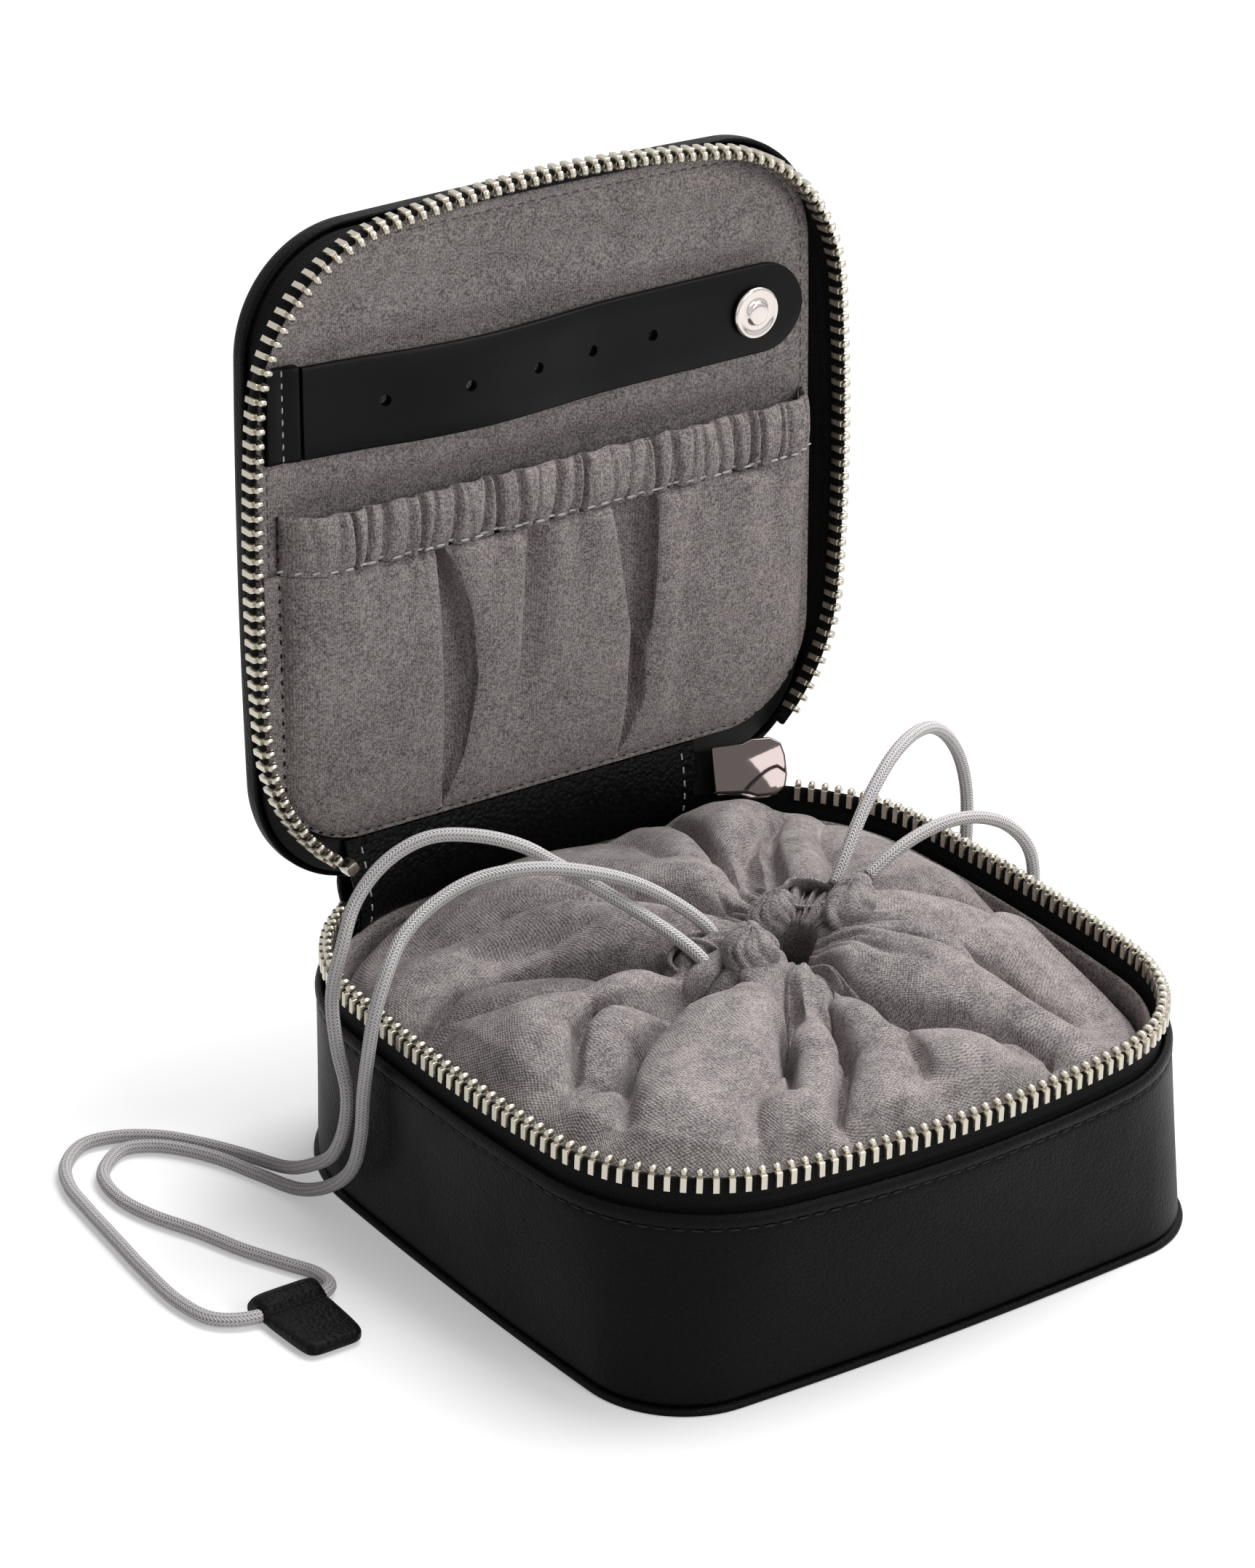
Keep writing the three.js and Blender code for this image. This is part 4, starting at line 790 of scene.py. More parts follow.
# Levels as (height from the meshing line, half width, half depth)
leg_levels = [(-3.35, 0.48, 1.1), (-3.25, 0.56, 1.2), (-0.72, 0.56, 1.2), (-0.6, 0.48, 1.1)]
head_levels = [(-0.9, 0.5, 0.7), (-0.45, 0.58, 0.84), (0.0, 0.59, 0.86), (0.3, 0.48, 0.7),
               (0.5, 0.22, 0.34)]
head_inwards = 0.28
crimp_levels = [(-3.3, 1.05, 1.1), (-3.1, 1.2, 1.3), (-0.9, 1.2, 1.3), (-0.5, 1.05, 1.15),
                (-0.36, 0.7, 0.8)]
chain_path = at_height(outline(chain_line, 0, 4800), mesh_height)
chain_run = back_run(chain_path, left_chain_end, right_chain_end)
chain_lengths = lengths(chain_run)


def octagon_loft(name, side, levels, cut=0.42, inwards=0.0):
    """Eight-sided rings over the levels, which count down on the lid's side."""
    corners = np.array([(1, 1 - cut), (1 - cut, 1), (cut - 1, 1), (-1, 1 - cut),
                        (-1, cut - 1), (cut - 1, -1), (1 - cut, -1), (1, cut - 1)])
    rows = [at_height(corners * [half_width * mm, half_depth * mm] + [0, inwards * mm],
                      side * height * mm) for height, half_width, half_depth in levels]
    piece = grid_mesh(name, np.array(rows), caps=True, material=tooth_nickel)
    piece.data.set_sharp_from_angle(angle=math.radians(38))
    return piece


def chain_between(first, last):
    """The zipper line from one length to another, measured from the stop's end."""
    at = np.linspace(first, last, 1600)
    return np.stack([np.interp(at, chain_lengths, places) for places in chain_run.T], axis=1)


for side, body, phase in ((1, "base", 0.5), (-1, "lid", 1.0)):
    tooth = joined("tooth", [octagon_loft("leg", side, leg_levels, cut=0.1),
                             octagon_loft("head", side, head_levels, inwards=head_inwards)])
    start = stop_length + stop_gap + phase * tooth_pitch
    tooth_count = int((chain_lengths[-1] - start) / tooth_pitch) + 1
    run = chain_between(start, start + (tooth_count - 1) * tooth_pitch)
    chain = copies_along(body + "_teeth", run, tooth, tooth_count, tooth_nickel, 0.02, seed=5)
    stop_at = chain_between(stop_length / 2, stop_length / 2 + 0.1 * mm)
    crimp = octagon_loft("crimp", side, crimp_levels)
    stop = copies_along(body + "_stop", stop_at, crimp, 1, tooth_nickel)
    for piece, node in ((chain, "_zipper_chain"), (stop, "_zipper_stop")):
        finish(swing(piece) if body == "lid" else piece, body, "nickel", body + node)


# Brushed knit of the pouch: a fine ribbed knit under a short fuzz, with the ribs worn bare in
# patches
def brushed_knit(name, dark, light, rib):
    look = Look(name, light, 0.95, specular=0.08)
    look.sheen(0.12, 0.5, (0.8, 0.77, 0.77))
    u, v, _ = look.parts(uv=True)
    wobble = look.times(look.noise(500, 2), 0.5)
    weave = look.times(look.times(look.wave(u, rib, wobble), look.wave(v, rib, wobble)), 0.5)
    fibre = look.patches(2700, 3, 0.12, roughness=0.6)
    nap = look.patches(75, 5, 0.18, roughness=0.65)
    worn = look.patches(330, 4, 0.12, 0.1, 0.42, roughness=0.6)
    mix = look.sum((nap, 0.2), (fibre, 0.4), (look.plus(weave, 0.5), worn))
    look.drive("Base Color", look.tint(mix, 0.1, 0.78, dark, light))
    tufts = look.bump(weave, 0.12 * mm, 0.8)
    look.drive("Normal", look.bump(fibre, 0.1 * mm, 0.5, tufts))
    return look.material


pouch_knit = brushed_knit("pouch_knit", (0.115, 0.10, 0.10), (0.50, 0.45, 0.445), 0.66 * mm)


# Drawstring pouch: brushed knit sewn inside the lining's edge and gathered to a small mouth. Soft
# lobes fall between deep folds, fine gathers crowd the mouth, and the cords leave two sleeves.
# Sizes in millimetres and degrees; a share is of the way from the mouth's middle to the seam.
pouch_middle = np.array([8, -3]) * mm
pouch_seam_inset = 5.3 * mm
pouch_mouth = 5.2 * mm
pouch_shares = [0.1, 0.16, 0.24, 0.36, 0.5, 0.66, 0.8, 0.9, 0.96, 1]
pouch_dome = [47.4, 49.9, 51.2, 51, 50.2, 48.6, 46.2, 42.6, 37.6, 31.6]
pouch_fold_depth = [0, 2.0, 5.6, 9.6, 12.4, 12.4, 9.6, 6.0, 2.6, 0]
# Valleys between the lobes as (direction at the mouth, at the seam, strength)
pouch_valleys = [
    (-165, -159, 0.5), (-128, -131, 0.4), (-111, -118, 0.4), (-85, -76, 0.4), (-48, -51, 0.35),
    (-38, 0, 0.4), (36, 46, 0.5), (82, 90, 0.3), (126, 138, 0.4), (174, 166, 0.5),
]
# Deep folds as (half width, [(x, y, depth), ...]), from the mouth outwards
pouch_folds = [
    (4.0, [(-16.6, -1.9, 3), (-22, 5.8, 6), (-29.4, 14.2, 7), (-36.1, 19.5, 7), (-43.9, 21.8, 6),
           (-52.5, 18.3, 4)]),
    (3.6, [(-11.7, -12.6, 3), (-17.1, -9.8, 5), (-23, -8.1, 6), (-29.2, -6.9, 5), (-34, -5.3, 6),
           (-39.2, -7.4, 6), (-47, -17.1, 3)]),
    (2.8, [(-10.4, -15.6, 3), (-16.3, -16.4, 3), (-22.5, -14.6, 4), (-28.8, -15.6, 5),
           (-33.3, -16.6, 5), (-40.7, -23.9, 4), (-48.1, -33.5, 2)]),
    (2.4, [(-3, -17, 1), (-6.4, -22.5, 5), (-9.1, -26.5, 6), (-12.4, -29.6, 7), (-15, -33, 6),
           (-16.5, -36.5, 7), (-21.9, -43.5, 3)]),
    (2.6, [(0.5, -17, 1), (-3.2, -26.4, 4), (-4.3, -31.9, 6), (-5.3, -35.5, 7), (-6.2, -38.8, 6),
           (-9.9, -43.1, 5), (-17.9, -50.6, 3)]),
    (4.2, [(3.4, -24.8, 2), (5, -31.6, 3), (5, -38.6, 4), (4.3, -43.4, 4), (2.4, -47.9, 3)]),
    (3.6, [(5, -14, 3), (6.4, -23.5, 5), (8.9, -29.2, 6), (12, -35.4, 6), (18.4, -41.2, 7),
           (24.9, -44.5, 8), (28.2, -49.3, 8)]),
    (2.8, [(22, -9, 2), (29.1, -15, 4), (32.6, -20.8, 4), (34.9, -25.6, 6), (37.9, -27, 5),
           (40.5, -31.5, 4), (45, -35.3, 5)]),
    (3.0, [(30, 0.8, 3), (38.9, -1.5, 4), (46.4, -2.6, 4), (53.1, -3.4, 3), (57.1, -6.3, 2)]),
    (2.4, [(10, 14, 3), (16.3, 29.2, 4), (19.4, 39.6, 3.5), (21.1, 49.5, 2)]),
    (2.2, [(12.5, 12, 4), (21.3, 26.8, 4), (27.1, 32.8, 3), (33.8, 36.9, 2)]),
    (2.4, [(17, 10, 4), (26.8, 26.1, 4), (34.3, 34.5, 3), (41, 41.4, 2)]),
    (3.2, [(1.8, 8, 3), (-0.5, 11.4, 3), (-4.7, 19.1, 2.5), (-9, 26.7, 2), (-13.5, 34.2, 1.5)]),
    (3.0, [(-20.1, 16.7, 1), (-25.6, 21.1, 2), (-31.3, 25.2, 2), (-36.2, 29.1, 1.5)]),
]
# Dips as (direction, half width, depth, share where it begins, share where it is full)
pouch_dips = [(-40, 20, 9, 0.45, 0.8), (142, 16, 4, 0.5, 0.8), (16, 16, 2.05, 0.22, 0.36),
              (156, 13, 1.45, 0.1, 0.2)]
pouch_angle = turns(600)


def pouch_edge():
    """Where the pouch is sewn, one point for each direction from its mouth."""
    ring = outline(rim_line, -pouch_seam_inset, 2400)
    angle = np.unwrap(np.arctan2(*(ring - pouch_middle).T[::-1]))
    angle = np.append(angle, angle[0] + tau)
    wanted = (pouch_angle - angle[0]) % tau + angle[0]
    return np.stack([np.interp(wanted, angle, closed(ring)[:, axis]) for axis in (0, 1)], axis=1)


pouch_reach = np.linalg.norm(pouch_edge() - pouch_middle, axis=1)


def waves(seed, terms, lowest, highest):
    """A smooth random function of the angle, from a few whole-numbered waves."""
    rng = np.random.default_rng(seed)
    order = rng.integers(lowest, highest, terms)
    phase = rng.uniform(0, tau, terms)
    size = rng.normal(0, 1, terms) / math.sqrt(terms)
    return lambda angle: (size * np.cos(order * angle[..., None] + phase)).sum(axis=-1)


def between(value, first, last):
    """How far the value is on its way from first to last, held to 0 and 1."""
    return np.clip((value - first) / (last - first), 0, 1)


def bell(value, middle, wide):
    return np.exp(-((value - middle) / wide) ** 2)


def degrees_off(angle, direction):
    return (np.degrees(angle) - direction + 180) % 360 - 180


def pouch_lobes(angle, share, radius):
    """How hollow the cloth is between its lobes, and how far it leans over."""
    lines = np.array([np.radians(inner + (outer - inner) * between(share, 0.3, 0.9))
                      for inner, outer, _ in pouch_valleys])
    lines = lines + 0.035 * np.sin(radius / 6 + np.arange(len(lines))[:, None, None] * 2.1)
    hollow, lean = np.zeros(angle.shape), np.zeros(angle.shape)
    for i, (_, _, strength) in enumerate(pouch_valleys):
        after = (i + 1) % len(lines)
        width = (lines[after] - lines[i]) % tau
        p = (angle - lines[i]) % tau / width
        strength = strength * (1 - p) + pouch_valleys[after][2] * p
        narrow = np.clip(width * radius / 15, 0.3, 1)
        crown = np.clip(np.sin(math.pi * np.clip(p, 0, 1)), 0, 1) ** 0.8
        hollow = np.where(p < 1, strength * (1 - crown) * narrow, hollow)
        slant = -np.sin(tau * p) * width * 0.13 * np.clip(strength, 0, 1)
        lean = np.where(p < 1, slant, lean)
    return hollow, lean * np.interp(share, [0.12, 0.3, 0.85, 0.98], [0, 1, 1, 0])


def pouch_gathers(angle, radius):
    """Depth of the creases that crowd the mouth, short ones between long ones."""
    crowd = angle + 0.05 * waves(15, 6, 3, 9)(angle) + 0.03 * np.sin(radius / 2.6)
    short = (1 - np.abs(np.sin(crowd * 17))) ** 1.3 * (0.75 + 0.35 * waves(11, 10, 6, 16)(angle))
    long = np.clip(0.6 + 0.6 * waves(16, 8, 4, 10)(angle), 0, 1.4)
    long = (1 - np.abs(np.sin(crowd * 8.5 + 0.7))) ** 2 * long
    return 2.6 * np.clip(short, 0, 1.5) * bell(radius, 10.5, 7) + 2.4 * long * bell(radius, 17, 10)


def pouch_height(angle, share, reach):
    """Height of the cloth at a direction and share of the way, and how far it leans over."""
    radius = share * reach / mm
    hollow, lean = pouch_lobes(angle, share, radius)
    height = np.interp(share, pouch_shares, pouch_dome)
    height -= hollow * np.interp(share, pouch_shares, pouch_fold_depth)
    height -= pouch_gathers(angle, radius)
    ripple = waves(12, 12, 9, 22)(angle + 0.1 * np.sin(radius / 9))
    height += 0.6 * ripple * bell(radius, 24, 14)
    drift = waves(13, 8, 2, 7)(angle) * np.sin(radius / 11)
    drift += waves(14, 8, 3, 9)(angle) * np.cos(radius / 7)
    height += 0.9 * drift * np.interp(share, [0.2, 0.5, 0.85, 1], [0, 1, 0.8, 0])
    for direction, wide, depth, begin, full in pouch_dips:
        window = between(share, begin, full) * between(share, 1, 0.9)
        height -= window * depth * bell(degrees_off(angle, direction), 0, wide)
    height -= 3.6 * bell(degrees_off(angle, -105), 0, 48) * bell(radius, 6, 8)
    return height, lean


def fold_field(places, line):
    """Each place's distance and way to a fold's line, and the fold's depth there."""
    points = np.array(line, float)
    nearest = np.full(places.shape[:-1], 1e9)
    way = np.zeros(places.shape)
    depth = np.zeros(places.shape[:-1])
    for first, last in zip(points, points[1:]):
        run = last[:2] - first[:2]
        t = np.clip(((places - first[:2]) @ run) / run.dot(run), 0, 1)
        apart = first[:2] + t[..., None] * run - places
        distance = np.linalg.norm(apart, axis=-1)
        closer = distance < nearest
        nearest = np.where(closer, distance, nearest)
        way = np.where(closer[..., None], apart, way)
        depth = np.where(closer, first[2] + (last[2] - first[2]) * t, depth)
    return nearest, way, depth


def folded(points):
    """The cloth with its deep folds pressed in and their sides drawn together."""
    places = points[..., :2] / mm
    sunk, raised, drawn = 0.0, 0.0, np.zeros(places.shape)
    for wide, line in pouch_folds:
        distance, way, depth = fold_field(places, line)
        sunk = sunk + 1.9 * depth * np.exp(-(distance / wide) ** 1.1)
        raised = raised + 0.09 * wide * depth * bell(distance, 2.4 * wide, 1.3 * wide)
        pull = 0.62 * wide * bell(distance, 1.25 * wide, 0.75 * wide) * np.clip(depth / 4, 0, 1)
        drawn += way / np.maximum(distance, 0.2)[..., None] * pull[..., None]
    # Folds that meet are no deeper than 13 mm, and no ridge is higher than 2.2 mm
    sunk = 13 * np.tanh(sunk / 13) - 2.2 * np.tanh(raised / 2.2)
    return points + np.concatenate([drawn, -sunk[..., None]], axis=-1) * mm


def lowered(cloth, drop, narrow):
    """Cloth that hangs lower, drawn in towards the mouth."""
    inner = cloth.copy()
    inner[..., :2] = pouch_middle + (inner[..., :2] - pouch_middle) * narrow
    inner[..., 2] -= drop * mm
    return inner


def pouch_shell():
    """The cloth from its seam over the lobes, down the mouth's throat, and back under itself."""
    share = np.concatenate([np.linspace(1, 0.9, 14)[:-1], np.linspace(0.9, 0.1, 96)])[:, None]
    share, angle, reach = np.broadcast_arrays(share, pouch_angle, pouch_reach)
    height, lean = pouch_height(angle, share, reach)
    even = (share - 0.1) / 0.9
    radius = pouch_mouth * (1 - even) + reach * even
    way = np.stack([np.cos(angle + lean), np.sin(angle + lean)], axis=-1)
    spread = way * radius[..., None] + pouch_middle
    top = np.concatenate([spread, height[..., None] * mm], axis=-1)
    sewn = between(share, 1, 0.94)[..., None]
    top = top * (1 - sewn) + folded(top) * sewn
    throat = [lowered(top[-1], drop, narrow)
              for drop, narrow in ((1.4, 0.96), (3.4, 0.92), (7, 0.9), (12, 0.95))]
    return np.concatenate([top, np.array(throat), lowered(top[::5][::-1], 2.4, 0.985)])


def bunch(name, centre, size, turn, seed):
    """Cloth bunched beside the mouth, where the casing of the drawstring ends."""
    lat = np.linspace(-math.pi / 2 + 0.05, math.pi / 2 - 0.05, 40)[:, None]
    lon = turns(64)[None, :]
    ball = np.stack(np.broadcast_arrays(np.cos(lat) * np.cos(lon), np.cos(lat) * np.sin(lon),
                                        np.sin(lat)), axis=-1)
    crease = waves(seed, 6, 2, 6)(lon + 0.5 * np.sin(2 * lat))
    swell = 1 - 0.12 * bell(crease, 0, 0.3) + 0.05 * np.sin(3 * lon + 2 * lat)
    c, s = math.cos(math.radians(turn)), math.sin(math.radians(turn))
    turned = ball * swell[..., None] * np.array(size) @ [[c, s, 0], [-s, c, 0], [0, 0, 1]]
    return grid_mesh(name, (turned + np.array(centre)) * mm, caps=True, material=pouch_knit)


def sleeve(name, start, aim, wide, high, reach, seed):
    """A sleeve of the casing, from which two cords come out: flat, with a turned lip."""
    start = np.array(start, float)
    forward = np.array(aim, float) - start
    forward /= np.linalg.norm(forward)
    side = np.cross(forward, [0, 0, 1.0])
    side /= np.linalg.norm(side)
    over = np.cross(side, forward)
    angle = turns(56)[:, None]
    pucker = 1 + 0.07 * waves(seed, 6, 3, 8)(angle[:, 0])[:, None]
    rows = []
    for at, scale, inner in (
        (-4.5, 0.55, 0), (-3, 0.9, 0), (-1.2, 1.04, 0), (reach - 1.2, 1.0, 0),
        (reach - 0.4, 1.06, 0), (reach, 1.05, 0.2), (reach, 1.0, 0.45), (reach - 0.8, 0.98, 0.6),
        (0, 0.94, 0.6), (-3.5, 0.7, 0.6),
    ):
        ring = side * (wide - inner) * np.cos(angle) + over * (high - inner) * np.sin(angle)
        rows.append(start + forward * at + ring * scale * pucker)
    return grid_mesh(name, np.array(rows) * mm, round_rows=True, material=pouch_knit)


pouch = joined("pouch", [
    grid_mesh("pouch_body", pouch_shell(), round_rows=True, material=pouch_knit),
    bunch("left_bunch", (-5.2, -9.4, 50.0), (5.9, 5.2, 5.2), 60, 31),
    bunch("right_bunch", (20.8, -4.2, 49.8), (8.0, 4.0, 4.6), 32, 32),
    bunch("back_bunch", (8.5, 2.4, 48.0), (5.8, 2.6, 4.8), 10, 33),
    sleeve("left_sleeve", (-11.0, -2.0, 46.2), (-13.4, -5.2, 50.4), 4.7, 3.4, 3.6, 34),
    sleeve("right_sleeve", (17.0, 4.2, 48.2), (15.2, 1.2, 52.6), 5.0, 2.9, 3.0, 35),
])
finish(pouch, "base", "pouch_cloth", "drawstring_pouch")
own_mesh(pouch)


# Boards and padding: dark fibreboard that stiffens the walls, the floor and the lid, and the
# foam under the lid's leather. They are CAD nodes and hardly show.
def dull(name, colour, scale):
    look = Look(name, colour, 0.9)
    look.drive("Normal", look.bump(look.noise(scale, 4), 0.2 * mm, 0.5))
    return look.material


board_fibre = dull("board_fibre", (0.012, 0.012, 0.012), 900)
foam_cells = dull("foam_cells", (0.02, 0.02, 0.02), 1600)
for node, material in (("base_board", board_fibre), ("base_wall_board", board_fibre),
                       ("lid_backing", board_fibre), ("lid_padding", foam_cells)):
    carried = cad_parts[node].data.materials
    carried.clear()
    carried.append(material)

# Lid: a shallow padded leather cover turned over a board at its edge, lined with the same suede as
# the base and sewn round. All of it is drawn as it lies when the case is shut, then swung open.
cover_profile = [
    (-2.6, 53.3), (-1.5, 53.2), (-1.2, 52.8), (-1.2, 50.6), (-1.05, 50.2), (-0.7, 50.0),
    (-0.3, 50.05), (-0.05, 50.3), (0, 50.7), (0, 51.4), (0, 52.1), (-0.1, 52.8), (-0.4, 53.5),
    (-0.9, 54.05), (-1.6, 54.45), (-2.6, 54.68), (-4, 54.8), (-8, 54.9),
]
cover = rings(lid_line, cover_profile, 640)
cover = (shrunk(cover[0], (0.03, 0.5)) + cover
         + shrunk(cover[-1], (0.8, 0.6, 0.4, 0.2, 0.03), rise=0.3 * mm))
finish(grid_mesh("lid_cover", opened(np.array(cover)), caps=True, material=outer_leather),
       "lid", "leather", "lid_shell")

lid_lining_line = in_mm(half_x=58.9, half_y=55.65, bow_x=1500, bow_y=1500, front=20, back=20,
                        centre_y=-3.25)
lid_lining_middle = np.array([0, -3.25 * mm, 0])
lid_lining_profile = [
    (-0.5, 50.0), (-0.1, 49.95), (0, 49.7), (-0.05, 49.4), (-0.4, 49.2), (-1.0, 49.12),
    (-1.7, 49.16), (-2.0, 49.3), (-2.3, 49.16), (-3.4, 49.06), (-7, 49.1), (-12, 49.2),
]
suede = rings(lid_lining_line, lid_lining_profile, 640)
suede = (shrunk(suede[0], (0.03, 0.5), lid_lining_middle) + suede
         + shrunk(suede[-1], (0.75, 0.5, 0.25, 0.03), lid_lining_middle))
finish(grid_mesh("lid_suede", opened(np.array(suede)), caps=True, material=lining_suede),
       "lid", "suede", "lid_lining")
lid_seam = closed(rings(lid_lining_line, [(-2.0, 49.2)], 1200)[0])
swing(stitches("lid_lining_seam", lid_seam, 2.3 * mm, 0.6, 0.17 * mm, grey_thread, "lid", "suede"))

# Gathered pocket: one suede panel sewn to the lid's lining round its edge and by two seams, full
# at the top, where an elastic in a stitched casing draws it into pleats. Deep folds open at the
# seams. Sizes in millimetres; a distance is from the hinge, a stand is off the lining.
hinge_y = hinge[1] / mm
lining_z = 49.2
pocket_left = -55.5
pocket_right = 56.4
pocket_foot = 6.3
pocket_top = 69.0
pocket_corner = 14.0
pocket_bulge = 7.4
panel_thickness = 0.55
casing_foot = 58.2
casing_seam = casing_foot + 0.9
panel_edge = {"side": 58.5, "foot": 5.3, "corner": 19.5}
# Lines down the pocket, as (distance, place across it)
first_lip = [(8.3, -23.6), (11.9, -24.2), (27.2, -24.6), (44.2, -25.7), (57.7, -27.3)]
first_gap = [(8.3, 0.3), (9.5, 1.0), (17.4, 3.8), (25.6, 5.1), (32, 6.0), (45, 5.0), (54.8, 3.0),
             (58, 2.0)]
roll_edge = [(8, -17.5), (14, -15.5), (18, -13.7), (32, -8.8), (48.7, -8.5), (58, -8.1)]
second_lip = [(8.3, 14.7), (17.2, 15.4), (32.7, 15.4), (46.9, 12.5), (58, 10.1)]
second_gap = [(8.3, 0.3), (9.3, 1.2), (18.2, 2.9), (28.7, 2.5), (42.2, 6.0), (58, 8.7)]
right_ridge = [(8, 26.5), (39, 25.9), (49, 26.8), (58, 29.2)]
# Soft folds as (place at the top, at the foot, half width, height, share where it fades)
pocket_soft_folds = [
    (-46, -47, 2.6, -0.9, 0.55), (-40, -41, 2.2, -1.3, 0.7), (-33, -33.5, 1.9, -1.0, 0.72),
    (-16, -17, 1.6, -0.9, 0.75), (3.0, 2.0, 2.6, -1.2, 0.58), (-3, -3.5, 1.7, 0.6, 0.7),
    (34, 33, 2.6, -1.0, 0.6), (40, 39, 2.0, 0.7, 0.7), (46, 44, 2.4, -1.1, 0.66),
    (51, 50, 1.8, -0.7, 0.75),
]
pleat_rng = np.random.default_rng(21)
casing_pleats = np.cumsum(pleat_rng.uniform(1.6, 4.8, 40)) - 55.0
casing_depths = pleat_rng.uniform(0.3, 1.5, 40)
casing_slants = pleat_rng.uniform(-0.7, 0.7, 40)
casing_widths = pleat_rng.uniform(0.35, 0.8, 40)
casing_swell = waves(41, 8, 3, 11)


def on_lining(x, distance, stand):
    """Places on the shut lid's lining, in millimetres."""
    return np.stack(np.broadcast_arrays(x, hinge_y - distance, lining_z - stand), axis=-1)


def along(line, distance):
    return float(np.interp(distance, *zip(*line)))


def rounded_edge(side, foot, corner, distance):
    """How far from the middle a rounded panel's edge is at a distance from the hinge."""
    drop = corner * between(distance, foot + corner, foot)
    return side - corner + math.sqrt(corner ** 2 - drop ** 2)


def pleats(x, distance, strength):
    """Depth of the narrow creases that the elastic draws into the cloth."""
    depth = np.zeros(np.shape(x))
    for at, size, slant, wide in zip(casing_pleats, casing_depths, casing_slants, casing_widths):
        line = at + slant * (distance - casing_foot) / 5
        depth = np.maximum(depth, size * bell(x, line, wide))
    return depth * strength


def casing_stand(x, distance):
    """How far the casing's back stands off the lining."""
    arch = np.sin(math.pi / 2 * between(x, pocket_left, pocket_left + 7)) ** 0.9
    arch = arch * np.sin(math.pi / 2 * between(x, pocket_right, pocket_right - 4.5)) ** 0.8
    over = math.sin(math.pi * between(distance, casing_foot, pocket_top))
    body = (5.6 + 0.4 * casing_swell(x / 18) + 0.55 * max(0.0, over) ** 0.5) * arch
    return np.maximum(body - pleats(x, distance, 1.5) * between(body, 0, 3), 0.0) + 0.35


def panel_section(distance):
    """x and stand along the pocket's panel at one distance."""
    rise = between(distance, pocket_foot, casing_foot)
    full = pocket_bulge * rise ** 0.5
    outer = rounded_edge(panel_edge["side"], panel_edge["foot"], panel_edge["corner"], distance)
    left = max(-rounded_edge(-pocket_left, pocket_foot, pocket_corner, distance), 1.0 - outer)
    right = min(rounded_edge(pocket_right, pocket_foot, pocket_corner, distance), outer - 1.0)
    lip, gap, roll, lip_2, gap_2, ridge = (along(line, distance) for line in (
        first_lip, first_gap, roll_edge, second_lip, second_gap, right_ridge))
    step = 0.36 * between(distance, 10, 28)
    points = [(-outer, 0), (left - 0.4, 0)]

    def stretch(start, end, *places):
        """Adds places as (share of the way from start to end, share of the full stand)."""
        points.extend((start + (end - start) * share, full * stand) for share, stand in places)

    def deep_fold(at, wide):
        stretch(at, at + 1.25 * wide, (0, 0.8), (-0.14, 0.56), (-0.1, 0.2), (0.1, 0.03),
                (0.42, 0.02), (0.7, 0.16), (0.88, 0.5), (1, 0.76))

    stretch(left, lip, (0, 0), (0.04, 0.3), (0.12, 0.6), (0.3, 0.84), (0.5, 0.96), (0.7, 1.0),
            (0.88, 0.99), (0.97, 0.92))
    deep_fold(lip, gap)
    stretch(lip + gap, roll, (0.1, 0.88), (0.36, 1.0), (0.7, 1.0), (0.93, 0.95), (1, 0.84))
    points += [(roll - 0.6, full * (0.84 - 0.6 * step)), (roll - 0.2, full * (0.8 - step))]
    stretch(roll, lip_2, (0.03, 0.78 - step), (0.1, 0.8 - step), (0.3, 0.86), (0.6, 0.98),
            (0.86, 1.0), (0.97, 0.92))
    deep_fold(lip_2, gap_2)
    stretch(lip_2 + gap_2, ridge, (0.12, 0.9), (0.4, 1.0), (0.75, 0.96), (1, 0.86))
    stretch(ridge, right, (0.05, 0.84), (0.2, 0.94), (0.5, 0.98), (0.8, 0.82), (0.93, 0.56),
            (0.985, 0.25), (1, 0))
    points += [(right + 0.4, 0), (outer, 0)]
    line = curve_through([(x, stand, 0) for x, stand in points])[::2]
    x, stand = line[:, 0], np.maximum(line[:, 1], 0.0)
    fullness = between(stand, 0, 4)
    for top, foot, wide, size, fade in pocket_soft_folds:
        grow = max(0.0, (rise - fade) / (1 - fade)) ** 0.8
        stand = stand + size * grow * fullness * bell(x, foot + (top - foot) * rise, wide)
    near_casing = between(distance, casing_foot - 8, casing_foot) ** 2
    stand = stand - pleats(x, casing_foot, 0.8 * near_casing) * between(stand, 0, 3)
    drawn_in = between(distance, casing_foot - 1.8, casing_foot) ** 2
    casing = np.minimum(casing_stand(x, casing_foot) + 0.1, 5.8)
    return x, (np.maximum(stand, 0.0) + 0.3) * (1 - drawn_in) + casing * drawn_in


panel_rows = []
for distance in (*np.linspace(panel_edge["foot"] + 0.05, pocket_foot, 5),
                 *np.linspace(pocket_foot + 0.2, casing_foot - 2.0, 110),
                 *np.linspace(casing_foot - 1.7, casing_foot - 0.1, 8)):
    x, stand = panel_section(distance)
    panel_rows.append(np.concatenate([on_lining(x, distance, stand + panel_thickness),
                                      on_lining(x, distance, np.maximum(stand, 0.15))[::-1]]))
finish(grid_mesh("pocket_cloth", opened(np.array(panel_rows) * mm), caps=True,
                 material=lining_suede), "lid", "suede", "pocket_panel")

